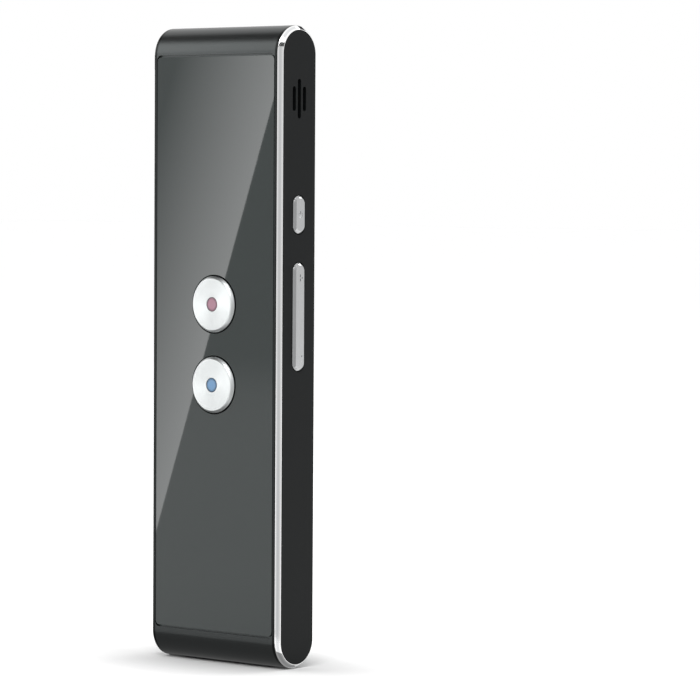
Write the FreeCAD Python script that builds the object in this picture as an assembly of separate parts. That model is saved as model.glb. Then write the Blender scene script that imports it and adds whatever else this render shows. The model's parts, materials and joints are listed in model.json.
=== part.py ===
"""Handheld voice translator: a slim bar with a flattened aluminium sleeve, a gloss
front panel with two round talk keys, and two black plastic side plates.

Frame: millimetres, +Z up. The origin is under the middle of the bar, at its lowest
point. The front panel faces -Y, the power key and the volume rocker are on +X, and
the charging socket is on -X.
"""

import math
import os

import FreeCAD
import Part

V = FreeCAD.Vector

# Flat sides that stand in for a full turn: on small details, grille holes, rings and key caps
SMALL_SIDES = 8
HOLE_SIDES = 6
RING_SIDES = 20
CAP_SIDES = 40
SLOT_END_SIDES = 4          # on each end of a microphone slot
BAR_END_SIDES = 10          # on each end of a side key

PAST = 1.0                  # how far a cutting tool runs past the face it opens
TOUCH = 1e-6                # two faces nearer than this lie in one plane

# Sleeve: an extruded stadium tube, open at its +X and -X ends
BODY_HEIGHT = 140.0
BODY_WIDTH = 38.2
BODY_DEPTH = 12.5
EDGE_CHAMFER = 0.9          # bright-cut chamfer round each open end
PLATE_WALL = 1.0            # wall left round a side plate's rebate
FRONT_WALL = 1.7
BACK_WALL = 1.5
CAP_WALL = 1.7              # wall at the rounded top and bottom

# Front panel, glued in a pocket milled in the sleeve
PANEL_SIDE_MARGIN = 1.8
PANEL_TOP_MARGIN = 6.6
PANEL_BOTTOM_MARGIN = 7.4
PANEL_CORNER = 1.0
PANEL_THICKNESS = 0.6
PANEL_EDGE_GAP = 0.12
PANEL_TAPE = 0.05
PANEL_TAPE_MARGIN = 0.8

# Round talk keys
KEY_DIAMETER = 12.4
KEY_GAP = 0.27              # radial gap between a key and its hole
KEY_RISE = 0.8
KEY_BEVEL = 0.6
KEY_DISH = 0.08
KEY_CAP_WALL = 0.45
KEY_SKIRT = 0.95            # straight skirt below the bevel
KEY_FLANGE_OVERLAP = 0.7
KEY_FLANGE = 0.6
KEY_REST_GAP = 0.05
KEY_TRAVEL = 0.25
KEY_LENS_DIAMETER = 3.2
KEY_LENS_HEAD = 0.9
KEY_LENS_STEM_DIAMETER = 2.0
KEY_LENS_STEM = 1.0
UPPER_KEY_FROM_TOP = 60.8
KEY_PITCH = 17.7
NUB_RADIUS = 1.4

# Tactile switch under each talk key
SWITCH_SIDE = 4.6
SWITCH_HEIGHT = 1.3
SWITCH_WALL = 0.15
SWITCH_CORNER = 0.46
PLUNGER_RADIUS = 1.0
PLUNGER_FLANGE_RADIUS = 1.6
PLUNGER_FLANGE = 0.2
PLUNGER_STAND = 0.4         # how far the plunger stands out of its case
RUNNING_GAP = 0.05
LEG_WIDTH = 0.7
LEG_REACH = 0.8
LEG_THICKNESS = 0.2
LEG_SPREAD = 2.3            # between the two legs on one side

# Loudspeaker grille, through the sleeve's back wall
GRILLE_COUNT = 12
GRILLE_PITCH = 2.625
GRILLE_HOLE = 1.0
GRILLE_BLIND_DEPTH = 0.5    # the outermost holes are dimples
GRILLE_FROM_TOP = 28.1

# Side plates
PLATE_THICKNESS = 1.2
PLATE_GAP = 0.05
SLOT_WIDTH = 1.05
SLOT_PITCH = 1.66
SLOT_LENGTH_MIDDLE = 8.7
SLOT_LENGTH_OUTER = 5.4
MIC_FROM_TOP = 15.9
PEG_RADIUS = 0.8
PEG_LENGTH = 2.0
PEGS_FROM_TOP = [7.0, 28.0, 90.0]
PEG_FROM_BOTTOM = 12.0

# Side keys
SIDE_KEY_WIDTH = 3.7
SIDE_KEY_GAP = 0.2
SIDE_KEY_RISE = 0.55
SIDE_KEY_BEVEL = 0.55
POWER_LENGTH = 8.3
POWER_FROM_TOP = 41.0
ROCKER_LENGTH = 23.6
ROCKER_FROM_TOP = 63.2
SIDE_FLANGE = 0.5
SIDE_FLANGE_OVERLAP = 0.6
SIDE_KEY_BAY = 1.7          # from a side plate's inner face to the flex
SIDE_NUB_RADIUS = 0.7
ROCKER_FOOT_RADIUS = 0.4
ROCKER_LUG_LENGTH = 2.4
ROCKER_CONTACT = 8.5        # from the rocker's pivot to each snap dome
MARK_DEPTH = 0.12
MARK_LENGTH = 1.5
MARK_WIDTH = 0.3

# Snap domes and the flexible circuit that carries them
SIDE_KEY_TRAVEL = 0.2       # how far a side key moves over its dome
DOME_RADIUS = 2.0
DOME_FOIL = 0.07
DOME_CROWN = 0.35           # the flat crown's share of the dome's radius
FLEX_THICKNESS = 0.13
TAIL_ROOM = 0.39             # in front of the board, in the slots for the tails
FLEX_WIDTH = 4.4
FLEX_WAIST = 3.2
FLEX_TAIL = 4.0

# Inner frame, which slides into the sleeve from one end
FRAME_CLEARANCE = 0.15
FRAME_END_GAP = 0.2
BAY_SIDE_WALL = 2.7
WEB = 1.0
BOSS_RADIUS = 1.9
POCKET_COUNT = 3
POCKET_RIB = 1.6

# Main board
KEY_BAY = 2.65              # from the front wall's inner face to the board
BOARD_THICKNESS = 1.0
BOARD_END_MARGIN = 9.0
BOARD_SIDE_GAP = 0.2
SCREW_INSET = 4.3            # from the board's long edge
SCREWS_FROM_TOP = [11.5, 52.0]
SCREW_FROM_BOTTOM = 13.0
SCREW_RADIUS = 0.75
SCREW_LENGTH = 3.0
SCREW_HEAD_RADIUS = 1.4
SCREW_HEAD = 0.6
SCREW_HEAD_FLAT = 1.0       # radius of the flat on top of the head
SCREW_POINT = 0.25          # radius at the screw's tip
SCREW_GAP = 0.05

# What is soldered on the board's front. Chips: x, distance from an end, width, length
CHIPS_FROM_TOP = {"processor": (-6.0, 36.0, 7.0, 7.0), "memory": (6.5, 35.0, 5.0, 6.0),
                  "amplifier": (7.0, 43.5, 4.0, 4.0), "sensor": (-8.0, 24.0, 3.2, 2.5)}
CHIPS_FROM_BOTTOM = {"charger": (-7.5, 46.0, 6.0, 5.0), "codec": (7.5, 45.0, 5.0, 4.0)}
CHIP_HEIGHT = 0.9
SHIELD_WIDTH = 15.0
SHIELD_LENGTH = 18.0
SHIELD_HEIGHT = 1.6
SHIELD_FROM_BOTTOM = 28.0
SHIELD_SHEET = 0.2
LED_SIDE = 1.0
LED_HEIGHT = 0.5
ANTENNA_WIDTH = 9.0
ANTENNA_LENGTH = 2.0
ANTENNA_HEIGHT = 1.2
ANTENNA_FROM_BOTTOM = 11.0

# Battery pack
BATTERY_SIDE_GAP = 1.0
BATTERY_FROM_BOTTOM = 18.0
WIRING_BAY = 19.0           # from the cell's upper end to the wiring bay's upper wall
BATTERY_GAP = 0.4
BATTERY_TAPE = 0.1
BATTERY_SWELL_GAP = 0.9
BATTERY_ROUND = 1.2
BATTERY_BOARD = 3.2
STOP_RIB = 1.0
LEAD_DIAMETER = 0.9
LEAD_PITCH = 1.6
LEAD_BEND = 4.0
LEAD_STEP_FROM = 0.25       # where the leads step over, as shares of their length
LEAD_STEP_TO = 0.6
LEAD_WINDOW = 9.6           # width of the frame's window behind the battery socket
SOCKET_WIDTH = 4.8
SOCKET_HEIGHT = 1.8
SOCKET_LENGTH = 3.4
WIRING_BAY_TOP = 47.0       # from the top of the bar to the wiring bay's upper wall

# Loudspeaker
SPEAKER_DIAMETER = 30.4
SPEAKER_GAP = 0.2
MAGNET_GAP = 0.4
SPEAKER_RIM = 2.5
SPEAKER_RIM_WIDTH = 2.0
MAGNET_DIAMETER = 16.0
MAGNET_GAP = 1.0
CONE_TRAVEL = 0.25
CONE_CLEARANCE = 0.35
COIL_RADIUS = 5.0
COIL_WALL = 0.3
GASKET = 0.5
NET = 0.15
FOIL = 0.15                 # thickness of the cone and of its surround
BASKET_FLOOR = 0.5
MAGNET_LIP = 1.0
COIL_LENGTH = 1.6
COIL_GAP = 0.2
CONE_RISE = 0.5
CONE_CROWN = 0.4            # height of the centre cap's shoulder
SURROUND_WIDTH = 2.2
SURROUND_LAND = 1.0
SURROUND_ROLL = 0.3
CONTACT_PITCH = 3.0
CONTACT_WIDTH = 1.0
CONTACT_LENGTH = 2.4
CONTACT_SHEET = 0.2
CONTACT_INSET = 3.7          # from the basket's lower edge

# Microphones
MIC_RADIUS = 3.0
MIC_THICKNESS = 1.1
MIC_BOOT_WALL = 0.6
MIC_PORT_RADIUS = 1.0
MIC_PAD = 3.0               # width of the flex's pad behind a capsule
MIC_TAIL = 3.0

# Charging socket
USB_FROM_TOP = 42.5
USB_LONG_SIDE = 7.5
USB_SHORT_SIDE = 5.3
USB_HEIGHT = 2.45
USB_SHEET = 0.3
USB_DEPTH = 5.0
USB_RECESS = 0.9
USB_PLATE_GAP = 0.12         # across the socket, to the plate
USB_PLATE_ROOM = 0.5         # along the socket, to the plate
USB_FRAME_GAP = 0.35
USB_TONGUE_WIDTH = 4.4
USB_TONGUE = 0.6
USB_TONGUE_ROOM = 0.35
USB_BLOCK = 1.0

# Positions worked out from the sizes above
HALF_WIDTH = BODY_WIDTH / 2
FRONT_Y = -BODY_DEPTH / 2
BACK_Y = BODY_DEPTH / 2
CAVITY_FRONT_Y = FRONT_Y + FRONT_WALL
CAVITY_BACK_Y = BACK_Y - BACK_WALL
PANEL_BACK_Y = FRONT_Y + PANEL_THICKNESS
POCKET_Y = PANEL_BACK_Y + PANEL_TAPE
PANEL_WIDTH = BODY_WIDTH - 2 * PANEL_SIDE_MARGIN
PANEL_HEIGHT = BODY_HEIGHT - PANEL_TOP_MARGIN - PANEL_BOTTOM_MARGIN
PANEL_Z = PANEL_BOTTOM_MARGIN + PANEL_HEIGHT / 2
PLATE_X = HALF_WIDTH - PLATE_THICKNESS
FRAME_X = PLATE_X - FRAME_END_GAP
BAY_X = FRAME_X - BAY_SIDE_WALL
BOARD_FRONT_Y = CAVITY_FRONT_Y + KEY_BAY
BOARD_BACK_Y = BOARD_FRONT_Y + BOARD_THICKNESS
BOARD_X = BAY_X - BOARD_SIDE_GAP
BOARD_BOTTOM = BOARD_END_MARGIN
BOARD_TOP = BODY_HEIGHT - BOARD_END_MARGIN
WEB_BACK_Y = BOARD_BACK_Y + WEB
FRAME_FRONT_Y = CAVITY_FRONT_Y + FRAME_CLEARANCE
FRAME_BACK_Y = CAVITY_BACK_Y - FRAME_CLEARANCE
UPPER_KEY_Z = BODY_HEIGHT - UPPER_KEY_FROM_TOP
KEY_HEIGHTS = {"upper": UPPER_KEY_Z, "lower": UPPER_KEY_Z - KEY_PITCH}
KEY_RADIUS = KEY_DIAMETER / 2
KEY_HOLE_RADIUS = KEY_RADIUS + KEY_GAP
KEY_TOP_Y = FRONT_Y - KEY_RISE
FLANGE_FRONT_Y = CAVITY_FRONT_Y + KEY_REST_GAP
FLANGE_BACK_Y = FLANGE_FRONT_Y + KEY_FLANGE
SWITCH_TOP_Y = BOARD_FRONT_Y - SWITCH_HEIGHT
PLUNGER_TIP_Y = SWITCH_TOP_Y - PLUNGER_STAND
NUB_TIP_Y = PLUNGER_TIP_Y - RUNNING_GAP
GRILLE_Z = BODY_HEIGHT - GRILLE_FROM_TOP
MIC_Z = BODY_HEIGHT - MIC_FROM_TOP
POWER_Z = BODY_HEIGHT - POWER_FROM_TOP
ROCKER_Z = BODY_HEIGHT - ROCKER_FROM_TOP
USB_Z = BODY_HEIGHT - USB_FROM_TOP
FLEX_X = PLATE_X - SIDE_KEY_BAY
FLEX_WALL_X = FLEX_X - FLEX_THICKNESS
DOME_HEIGHT = SIDE_KEY_TRAVEL + RUNNING_GAP
MIC_BACK_X = PLATE_X - MIC_BOOT_WALL - MIC_THICKNESS
DOME_TOP_X = FLEX_X + DOME_HEIGHT
SIDE_NUB_X = DOME_TOP_X + RUNNING_GAP
SIDE_FLANGE_FACE_X = PLATE_X - KEY_REST_GAP
SIDE_FLANGE_BACK_X = SIDE_FLANGE_FACE_X - SIDE_FLANGE
ROCKER_PIVOT_X = FLEX_WALL_X + ROCKER_FOOT_RADIUS
SIDE_KEY_TOP_X = HALF_WIDTH + SIDE_KEY_RISE
RECESS_HALF = SIDE_KEY_WIDTH / 2 + SIDE_FLANGE_OVERLAP + SIDE_KEY_GAP
RECESS_BOTTOM = ROCKER_Z - ROCKER_LENGTH / 2 - 2 * RECESS_HALF
RECESS_TOP = POWER_Z + POWER_LENGTH / 2 + 2 * RECESS_HALF
FLEX_TAIL_Z = (POWER_Z - POWER_LENGTH / 2 + ROCKER_Z + ROCKER_LENGTH / 2) / 2
WIRING_TOP = BODY_HEIGHT - WIRING_BAY_TOP
BATTERY_TOP = WIRING_TOP - WIRING_BAY
BATTERY_WIDTH = 2 * (BAY_X - BATTERY_SIDE_GAP)
BATTERY_FRONT_Y = WEB_BACK_Y + BATTERY_TAPE
BATTERY_BACK_Y = CAVITY_BACK_Y - BATTERY_SWELL_GAP
BATTERY_STOP_Z = BATTERY_TOP + BATTERY_BOARD + 2 * BATTERY_GAP
GASKET_Y = CAVITY_BACK_Y - NET - GASKET
SPEAKER_LEDGE_Y = GASKET_Y - SPEAKER_RIM
MAGNET_BACK_Y = BOARD_BACK_Y + MAGNET_GAP
CONTACT_Z = GRILLE_Z - SPEAKER_DIAMETER / 2 + CONTACT_INSET
SURROUND_Y = GASKET_Y - CONE_CLEARANCE - FOIL
CONE_Y = SURROUND_Y + FOIL - CONE_RISE
COIL_BACK_Y = CONE_Y - FOIL - COIL_LENGTH
CONE_RADIUS = SPEAKER_DIAMETER / 2 - SPEAKER_RIM_WIDTH - SURROUND_WIDTH
USB_BACK_Y = BOARD_BACK_Y + USB_HEIGHT
USB_MOUTH_X = -(HALF_WIDTH - USB_RECESS)


def box(x0, x1, y0, y1, z0, z1):
    return Part.makeBox(x1 - x0, y1 - y0, z1 - z0, V(x0, y0, z0))


def stadium(x0, x1, y0, y1, z0, z1):
    """A bar along Z with full-round ends, extruded from x0 to x1."""
    r = (y1 - y0) / 2
    mid = (y0 + y1) / 2
    sides = [Part.LineSegment(V(x0, y0, z0 + r), V(x0, y0, z1 - r)),
             Part.Arc(V(x0, y0, z1 - r), V(x0, mid, z1), V(x0, y1, z1 - r)),
             Part.LineSegment(V(x0, y1, z1 - r), V(x0, y1, z0 + r)),
             Part.Arc(V(x0, y1, z0 + r), V(x0, mid, z0), V(x0, y0, z0 + r))]
    outline = Part.Wire([s.toShape() for s in sides])
    return Part.Face(outline).extrude(V(x1 - x0, 0, 0))


def round_ended(x0, x1, y, z, width, length, sides):
    """A bar or slot with round ends, drawn with few sides on each."""
    r = width / 2
    turn = [math.pi * i / sides for i in range(sides + 1)]
    upper = [(y + r * math.cos(a), z + length / 2 - r + r * math.sin(a)) for a in turn]
    lower = [(y - r * math.cos(a), z - length / 2 + r - r * math.sin(a)) for a in turn]
    return prism_x(upper + lower, x0, x1)


def key_bar(x0, x1, width, length, z):
    """A side key's outline, or the opening for one, centred on Y 0."""
    return round_ended(x0, x1, 0, z, width, length, BAR_END_SIDES)


def edges_along(block, direction):
    """A block's straight edges that run in one direction."""
    return [e for e in block.Edges
            if e.tangentAt(e.FirstParameter).cross(direction).Length < TOUCH]


def rounded_plate(half, y0, y1, z0, z1, radius):
    """A plate in the XZ plane with rounded corners."""
    plate = box(-half, half, y0, y1, z0, z1)
    return plate.makeFillet(radius, edges_along(plate, V(0, 1, 0)))


def rod_y(x, z, radius, y0, y1):
    return Part.makeCylinder(radius, y1 - y0, V(x, y0, z), V(0, 1, 0))


def sided_rod_y(x, z, radius, y0, y1, sides=SMALL_SIDES):
    """A round post or hole along Y, drawn with few sides."""
    corners = [V(x + radius * math.cos(a), y0, z + radius * math.sin(a))
               for a in side_angles(sides)]
    return Part.Face(Part.makePolygon(corners + corners[:1])).extrude(V(0, y1 - y0, 0))


def sided_rod_x(y, z, radius, x0, x1, sides=SMALL_SIDES):
    """A round post or hole along X, drawn with few sides."""
    corners = [V(x0, y + radius * math.cos(a), z + radius * math.sin(a))
               for a in side_angles(sides)]
    return Part.Face(Part.makePolygon(corners + corners[:1])).extrude(V(x1 - x0, 0, 0))


def side_angles(sides):
    return [math.tau * i / sides for i in range(sides)]


def faceted_ring(profile, place, sides):
    """Turns a closed (radius, along) profile in flat facets. place puts a point in space."""
    angles = side_angles(sides)
    faces = []
    for (r0, a0), (r1, a1) in zip(profile, profile[1:] + profile[:1]):
        if r0 == 0 and r1 == 0:
            continue
        for t0, t1 in zip(angles, angles[1:] + angles[:1]):
            corners = [place(r0, a0, t0), place(r1, a1, t0), place(r1, a1, t1),
                       place(r0, a0, t1)]
            if r1 == 0:
                del corners[2]
            elif r0 == 0:
                del corners[3]
            faces.append(Part.Face(Part.makePolygon(corners + corners[:1])))
    solid = Part.Solid(Part.Shell(faces))
    if solid.Volume < 0:
        solid.reverse()
    return solid


def ring_y(profile, x, z, sides=RING_SIDES):
    return faceted_ring(profile, lambda r, y, t: V(x + r * math.cos(t), y,
                                                   z + r * math.sin(t)), sides)


def ring_x(profile, y, z, sides=RING_SIDES):
    return faceted_ring(profile, lambda r, x, t: V(x, y + r * math.cos(t),
                                                   z + r * math.sin(t)), sides)


def peg_heights():
    return [BODY_HEIGHT - drop for drop in PEGS_FROM_TOP] + [PEG_FROM_BOTTOM]


def prism_x(points, x0, x1):
    """Extrudes (y, z) points from x0 to x1."""
    loop = [V(x0, y, z) for y, z in points]
    return Part.Face(Part.makePolygon(loop + loop[:1])).extrude(V(x1 - x0, 0, 0))


def mirrored(shape):
    """The same shape on the other side of the bar."""
    return shape.mirror(V(0, 0, 0), V(1, 0, 0))


def bevelled_key(x_back, x_wall, x_top, width, length, z, bevel):
    """A side key's bar, with its outer edge bevelled all round."""
    bar = key_bar(x_back, x_top, width, length, z)
    rim = [e for e in bar.Edges if e.BoundBox.XMin > x_top - TOUCH]
    return bar.makeChamfer(min(bevel, x_top - x_wall), rim)


def grille_holes():
    """Offsets (x, z) of the through holes, and of the blind ones at the border."""
    last = GRILLE_COUNT - 1
    through, blind = [], []
    for i in range(GRILLE_COUNT):
        for j in range(GRILLE_COUNT):
            rows_in = (min(i, last - i), min(j, last - j))
            kind = blind if 0 in rows_in or rows_in == (1, 1) else through
            kind.append(((i - last / 2) * GRILLE_PITCH, (j - last / 2) * GRILLE_PITCH))
    return through, blind


def sleeve():
    """The extruded tube: bright chamfers, rebates, cavity, pocket, holes, grille."""
    tube = stadium(-HALF_WIDTH, HALF_WIDTH, FRONT_Y, BACK_Y, 0, BODY_HEIGHT)
    ends = [e for e in tube.Edges
            if e.BoundBox.XMin > HALF_WIDTH - TOUCH or e.BoundBox.XMax < TOUCH - HALF_WIDTH]
    tube = tube.makeChamfer(EDGE_CHAMFER, ends)
    cavity = stadium(-HALF_WIDTH - PAST, HALF_WIDTH + PAST, CAVITY_FRONT_Y, CAVITY_BACK_Y,
                     CAP_WALL, BODY_HEIGHT - CAP_WALL)
    rebate = stadium(PLATE_X, HALF_WIDTH + PAST, FRONT_Y + PLATE_WALL, BACK_Y - PLATE_WALL,
                     PLATE_WALL, BODY_HEIGHT - PLATE_WALL)
    half = PANEL_WIDTH / 2 + PANEL_EDGE_GAP
    rise = PANEL_HEIGHT / 2 + PANEL_EDGE_GAP
    pocket = rounded_plate(half, FRONT_Y - PAST, POCKET_Y, PANEL_Z - rise, PANEL_Z + rise,
                           PANEL_CORNER + PANEL_EDGE_GAP)
    tools = [cavity, rebate, mirrored(rebate), pocket]
    for z in KEY_HEIGHTS.values():
        tools.append(rod_y(0, z, KEY_HOLE_RADIUS, FRONT_Y, CAVITY_FRONT_Y + PAST))
    through, blind = grille_holes()
    for x, z in through:
        tools.append(sided_rod_y(x, GRILLE_Z + z, GRILLE_HOLE / 2, CAVITY_BACK_Y - PAST,
                                 BACK_Y + PAST, HOLE_SIDES))
    for x, z in blind:
        tools.append(sided_rod_y(x, GRILLE_Z + z, GRILLE_HOLE / 2,
                                 BACK_Y - GRILLE_BLIND_DEPTH, BACK_Y + PAST, HOLE_SIDES))
    return tube.cut(tools)


def front_panel():
    panel = rounded_plate(PANEL_WIDTH / 2, FRONT_Y, PANEL_BACK_Y,
                          PANEL_Z - PANEL_HEIGHT / 2, PANEL_Z + PANEL_HEIGHT / 2,
                          PANEL_CORNER)
    holes = [rod_y(0, z, KEY_HOLE_RADIUS, FRONT_Y - PAST, PANEL_BACK_Y + PAST)
             for z in KEY_HEIGHTS.values()]
    return panel.cut(holes)


def panel_tape():
    """A die-cut adhesive sheet between the panel and the pocket's floor."""
    half = PANEL_WIDTH / 2 - PANEL_TAPE_MARGIN
    rise = PANEL_HEIGHT / 2 - PANEL_TAPE_MARGIN
    tape = box(-half, half, PANEL_BACK_Y, POCKET_Y, PANEL_Z - rise, PANEL_Z + rise)
    radius = KEY_HOLE_RADIUS + PANEL_TAPE_MARGIN
    holes = [sided_rod_y(0, z, radius, PANEL_BACK_Y - PAST, POCKET_Y + PAST)
             for z in KEY_HEIGHTS.values()]
    return tape.cut(holes)


def side_plate():
    """The blank shared by both sides, made for +X: outline, slots and pegs."""
    inset = PLATE_WALL + PLATE_GAP
    plate = stadium(PLATE_X, HALF_WIDTH, FRONT_Y + inset, BACK_Y - inset, inset,
                    BODY_HEIGHT - inset)
    pegs = [sided_rod_x(0, z, PEG_RADIUS, PLATE_X - PEG_LENGTH, PLATE_X)
            for z in peg_heights()]
    slots = []
    for step in (-1, 0, 1):
        length = SLOT_LENGTH_OUTER if step else SLOT_LENGTH_MIDDLE
        y = step * SLOT_PITCH
        slots.append(round_ended(PLATE_X - PAST, HALF_WIDTH + PAST, y, MIC_Z, SLOT_WIDTH,
                                 length, SLOT_END_SIDES))
    return plate.fuse(pegs).cut(slots)


def right_side_plate():
    """Carries the power key and the volume rocker in two slots."""
    width = SIDE_KEY_WIDTH + 2 * SIDE_KEY_GAP
    keys = [(POWER_LENGTH, POWER_Z), (ROCKER_LENGTH, ROCKER_Z)]
    slots = [key_bar(PLATE_X - PAST, HALF_WIDTH + PAST, width, length + 2 * SIDE_KEY_GAP, z)
             for length, z in keys]
    return side_plate().cut(slots)


def usb_outline(across, along):
    """The socket's shape: a flat back, and corners cut off towards the board."""
    z_long = USB_LONG_SIDE / 2 + along
    z_short = USB_SHORT_SIDE / 2 + along
    y_front = BOARD_BACK_Y - across
    y_back = USB_BACK_Y + across
    y_turn = y_front + (z_long - z_short)
    half = [(y_back, z_long), (y_turn, z_long), (y_front, z_short)]
    other = [(y, -z) for y, z in reversed(half)]
    return [(y, USB_Z + z) for y, z in half + other]


def left_side_plate():
    """The same blank on -X, with the charging socket's opening."""
    opening = prism_x(usb_outline(USB_PLATE_GAP, USB_PLATE_ROOM), -HALF_WIDTH - PAST, PAST - PLATE_X)
    return mirrored(side_plate()).cut(opening)


def key_cap(z):
    """A turned metal cap: dished face, bevel, thin skirt, hole for the lens."""
    r_in = KEY_RADIUS - KEY_CAP_WALL
    r_face = KEY_RADIUS - KEY_BEVEL
    r_lens = KEY_LENS_DIAMETER / 2
    y_bevel = KEY_TOP_Y + KEY_BEVEL
    y_skirt = y_bevel + KEY_SKIRT
    y_inner = KEY_TOP_Y + KEY_CAP_WALL + KEY_DISH
    return ring_y([(r_lens, KEY_TOP_Y + KEY_DISH), (r_face, KEY_TOP_Y),
                   (KEY_RADIUS, y_bevel), (KEY_RADIUS, y_skirt), (r_in, y_skirt),
                   (r_in, y_inner + KEY_BEVEL), (r_in - KEY_BEVEL, y_inner),
                   (r_lens, y_inner)], 0, z, CAP_SIDES)


def key_base(z):
    """The moulding glued inside a cap. Its flange is held behind the front wall."""
    r_plug = KEY_RADIUS - KEY_CAP_WALL - RUNNING_GAP
    y_plug = KEY_TOP_Y + KEY_CAP_WALL + KEY_DISH
    r_flange = KEY_HOLE_RADIUS + KEY_FLANGE_OVERLAP
    r_lens = KEY_LENS_DIAMETER / 2
    r_stem = KEY_LENS_STEM_DIAMETER / 2 + RUNNING_GAP
    y_head = KEY_TOP_Y + KEY_DISH + KEY_LENS_HEAD
    y_stem = y_head + KEY_LENS_STEM + RUNNING_GAP
    return ring_y([(0, y_stem), (r_stem, y_stem), (r_stem, y_head), (r_lens, y_head),
                   (r_lens, y_plug), (r_plug - KEY_BEVEL, y_plug),
                   (r_plug, y_plug + KEY_BEVEL), (r_plug, FLANGE_FRONT_Y),
                   (r_flange, FLANGE_FRONT_Y), (r_flange, FLANGE_BACK_Y),
                   (NUB_RADIUS, FLANGE_BACK_Y), (NUB_RADIUS, NUB_TIP_Y),
                   (0, NUB_TIP_Y)], 0, z)


def key_lens(z):
    """The coloured dot: a headed light guide pushed into the cap and the base."""
    r_head = KEY_LENS_DIAMETER / 2 - RUNNING_GAP
    r_stem = KEY_LENS_STEM_DIAMETER / 2
    y_top = KEY_TOP_Y + KEY_DISH
    y_head = y_top + KEY_LENS_HEAD
    return ring_y([(0, y_top), (r_head, y_top), (r_head, y_head), (r_stem, y_head),
                   (r_stem, y_head + KEY_LENS_STEM), (0, y_head + KEY_LENS_STEM)], 0, z)


def switch_case(z):
    """A low tactile switch: a square case with a plunger hole and four legs."""
    half = SWITCH_SIDE / 2
    case = box(-half, half, SWITCH_TOP_Y, BOARD_FRONT_Y, z - half, z + half)
    case = case.makeChamfer(SWITCH_CORNER, edges_along(case, V(0, 1, 0)))
    y_flange = SWITCH_TOP_Y + SWITCH_WALL
    y_floor = y_flange + PLUNGER_FLANGE + KEY_TRAVEL + 2 * RUNNING_GAP
    room = PLUNGER_FLANGE_RADIUS + RUNNING_GAP
    chamber = box(-room, room, y_flange, y_floor, z - room, z + room)
    hole = sided_rod_y(0, z, PLUNGER_RADIUS + RUNNING_GAP, SWITCH_TOP_Y - PAST, y_floor)
    legs = [box(side * half if side > 0 else -half - LEG_REACH,
                half + LEG_REACH if side > 0 else side * half,
                BOARD_FRONT_Y - LEG_THICKNESS, BOARD_FRONT_Y,
                z + (end * LEG_SPREAD - LEG_WIDTH) / 2, z + (end * LEG_SPREAD + LEG_WIDTH) / 2)
            for side in (-1, 1) for end in (-1, 1)]
    return case.fuse(legs).cut([chamber, hole])


def switch_plunger(z):
    y_flange = SWITCH_TOP_Y + SWITCH_WALL + RUNNING_GAP
    y_back = y_flange + PLUNGER_FLANGE
    return ring_y([(0, PLUNGER_TIP_Y), (PLUNGER_RADIUS, PLUNGER_TIP_Y),
                   (PLUNGER_RADIUS, y_flange), (PLUNGER_FLANGE_RADIUS, y_flange),
                   (PLUNGER_FLANGE_RADIUS, y_back), (0, y_back)], 0, z, SMALL_SIDES)


def power_key():
    """A bevelled bar with a flange behind the plate and a nub over its snap dome."""
    bar = bevelled_key(SIDE_FLANGE_BACK_X, HALF_WIDTH, SIDE_KEY_TOP_X, SIDE_KEY_WIDTH,
                       POWER_LENGTH, POWER_Z, SIDE_KEY_BEVEL)
    grow = 2 * (SIDE_KEY_GAP + SIDE_FLANGE_OVERLAP)
    flange = key_bar(SIDE_FLANGE_BACK_X, SIDE_FLANGE_FACE_X, SIDE_KEY_WIDTH + grow,
                     POWER_LENGTH + grow, POWER_Z)
    nub = sided_rod_x(0, POWER_Z, SIDE_NUB_RADIUS, SIDE_NUB_X, SIDE_FLANGE_BACK_X)
    return bar.fuse([flange, nub])


def rocker_lug(side):
    """A retaining lug beside the rocker that ends in its round pivot foot."""
    inner = side * (SIDE_KEY_WIDTH / 2 - 2 * RUNNING_GAP)
    outer = side * (SIDE_KEY_WIDTH / 2 + SIDE_FLANGE_OVERLAP)
    y0, y1 = sorted((inner, outer))
    half = ROCKER_LUG_LENGTH / 2
    arm = box(SIDE_FLANGE_BACK_X, SIDE_FLANGE_FACE_X - RUNNING_GAP, y0, y1,
              ROCKER_Z - half, ROCKER_Z + half)
    r = ROCKER_FOOT_RADIUS
    leg = box(ROCKER_PIVOT_X, SIDE_FLANGE_BACK_X, y0, y1, ROCKER_Z - r, ROCKER_Z + r)
    foot = Part.makeCylinder(r, y1 - y0, V(ROCKER_PIVOT_X, y0, ROCKER_Z), V(0, 1, 0))
    return arm.fuse([leg, foot])


def volume_rocker():
    """One bar over two snap domes, rocking on two feet, with + and - marks."""
    bar = bevelled_key(SIDE_FLANGE_BACK_X, HALF_WIDTH, SIDE_KEY_TOP_X, SIDE_KEY_WIDTH,
                       ROCKER_LENGTH, ROCKER_Z, SIDE_KEY_BEVEL)
    parts = [rocker_lug(-1), rocker_lug(1)]
    marks = []
    for end in (-1, 1):
        z = ROCKER_Z + end * ROCKER_CONTACT
        parts.append(sided_rod_x(0, z, SIDE_NUB_RADIUS, SIDE_NUB_X, SIDE_FLANGE_BACK_X))
        marks.append(box(SIDE_KEY_TOP_X - MARK_DEPTH, SIDE_KEY_TOP_X + PAST,
                         -MARK_LENGTH / 2, MARK_LENGTH / 2,
                         z - MARK_WIDTH / 2, z + MARK_WIDTH / 2))
    z = ROCKER_Z + ROCKER_CONTACT
    marks.append(box(SIDE_KEY_TOP_X - MARK_DEPTH, SIDE_KEY_TOP_X + PAST,
                     -MARK_WIDTH / 2, MARK_WIDTH / 2,
                     z - MARK_LENGTH / 2, z + MARK_LENGTH / 2))
    return bar.fuse(parts).cut(marks)


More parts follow.
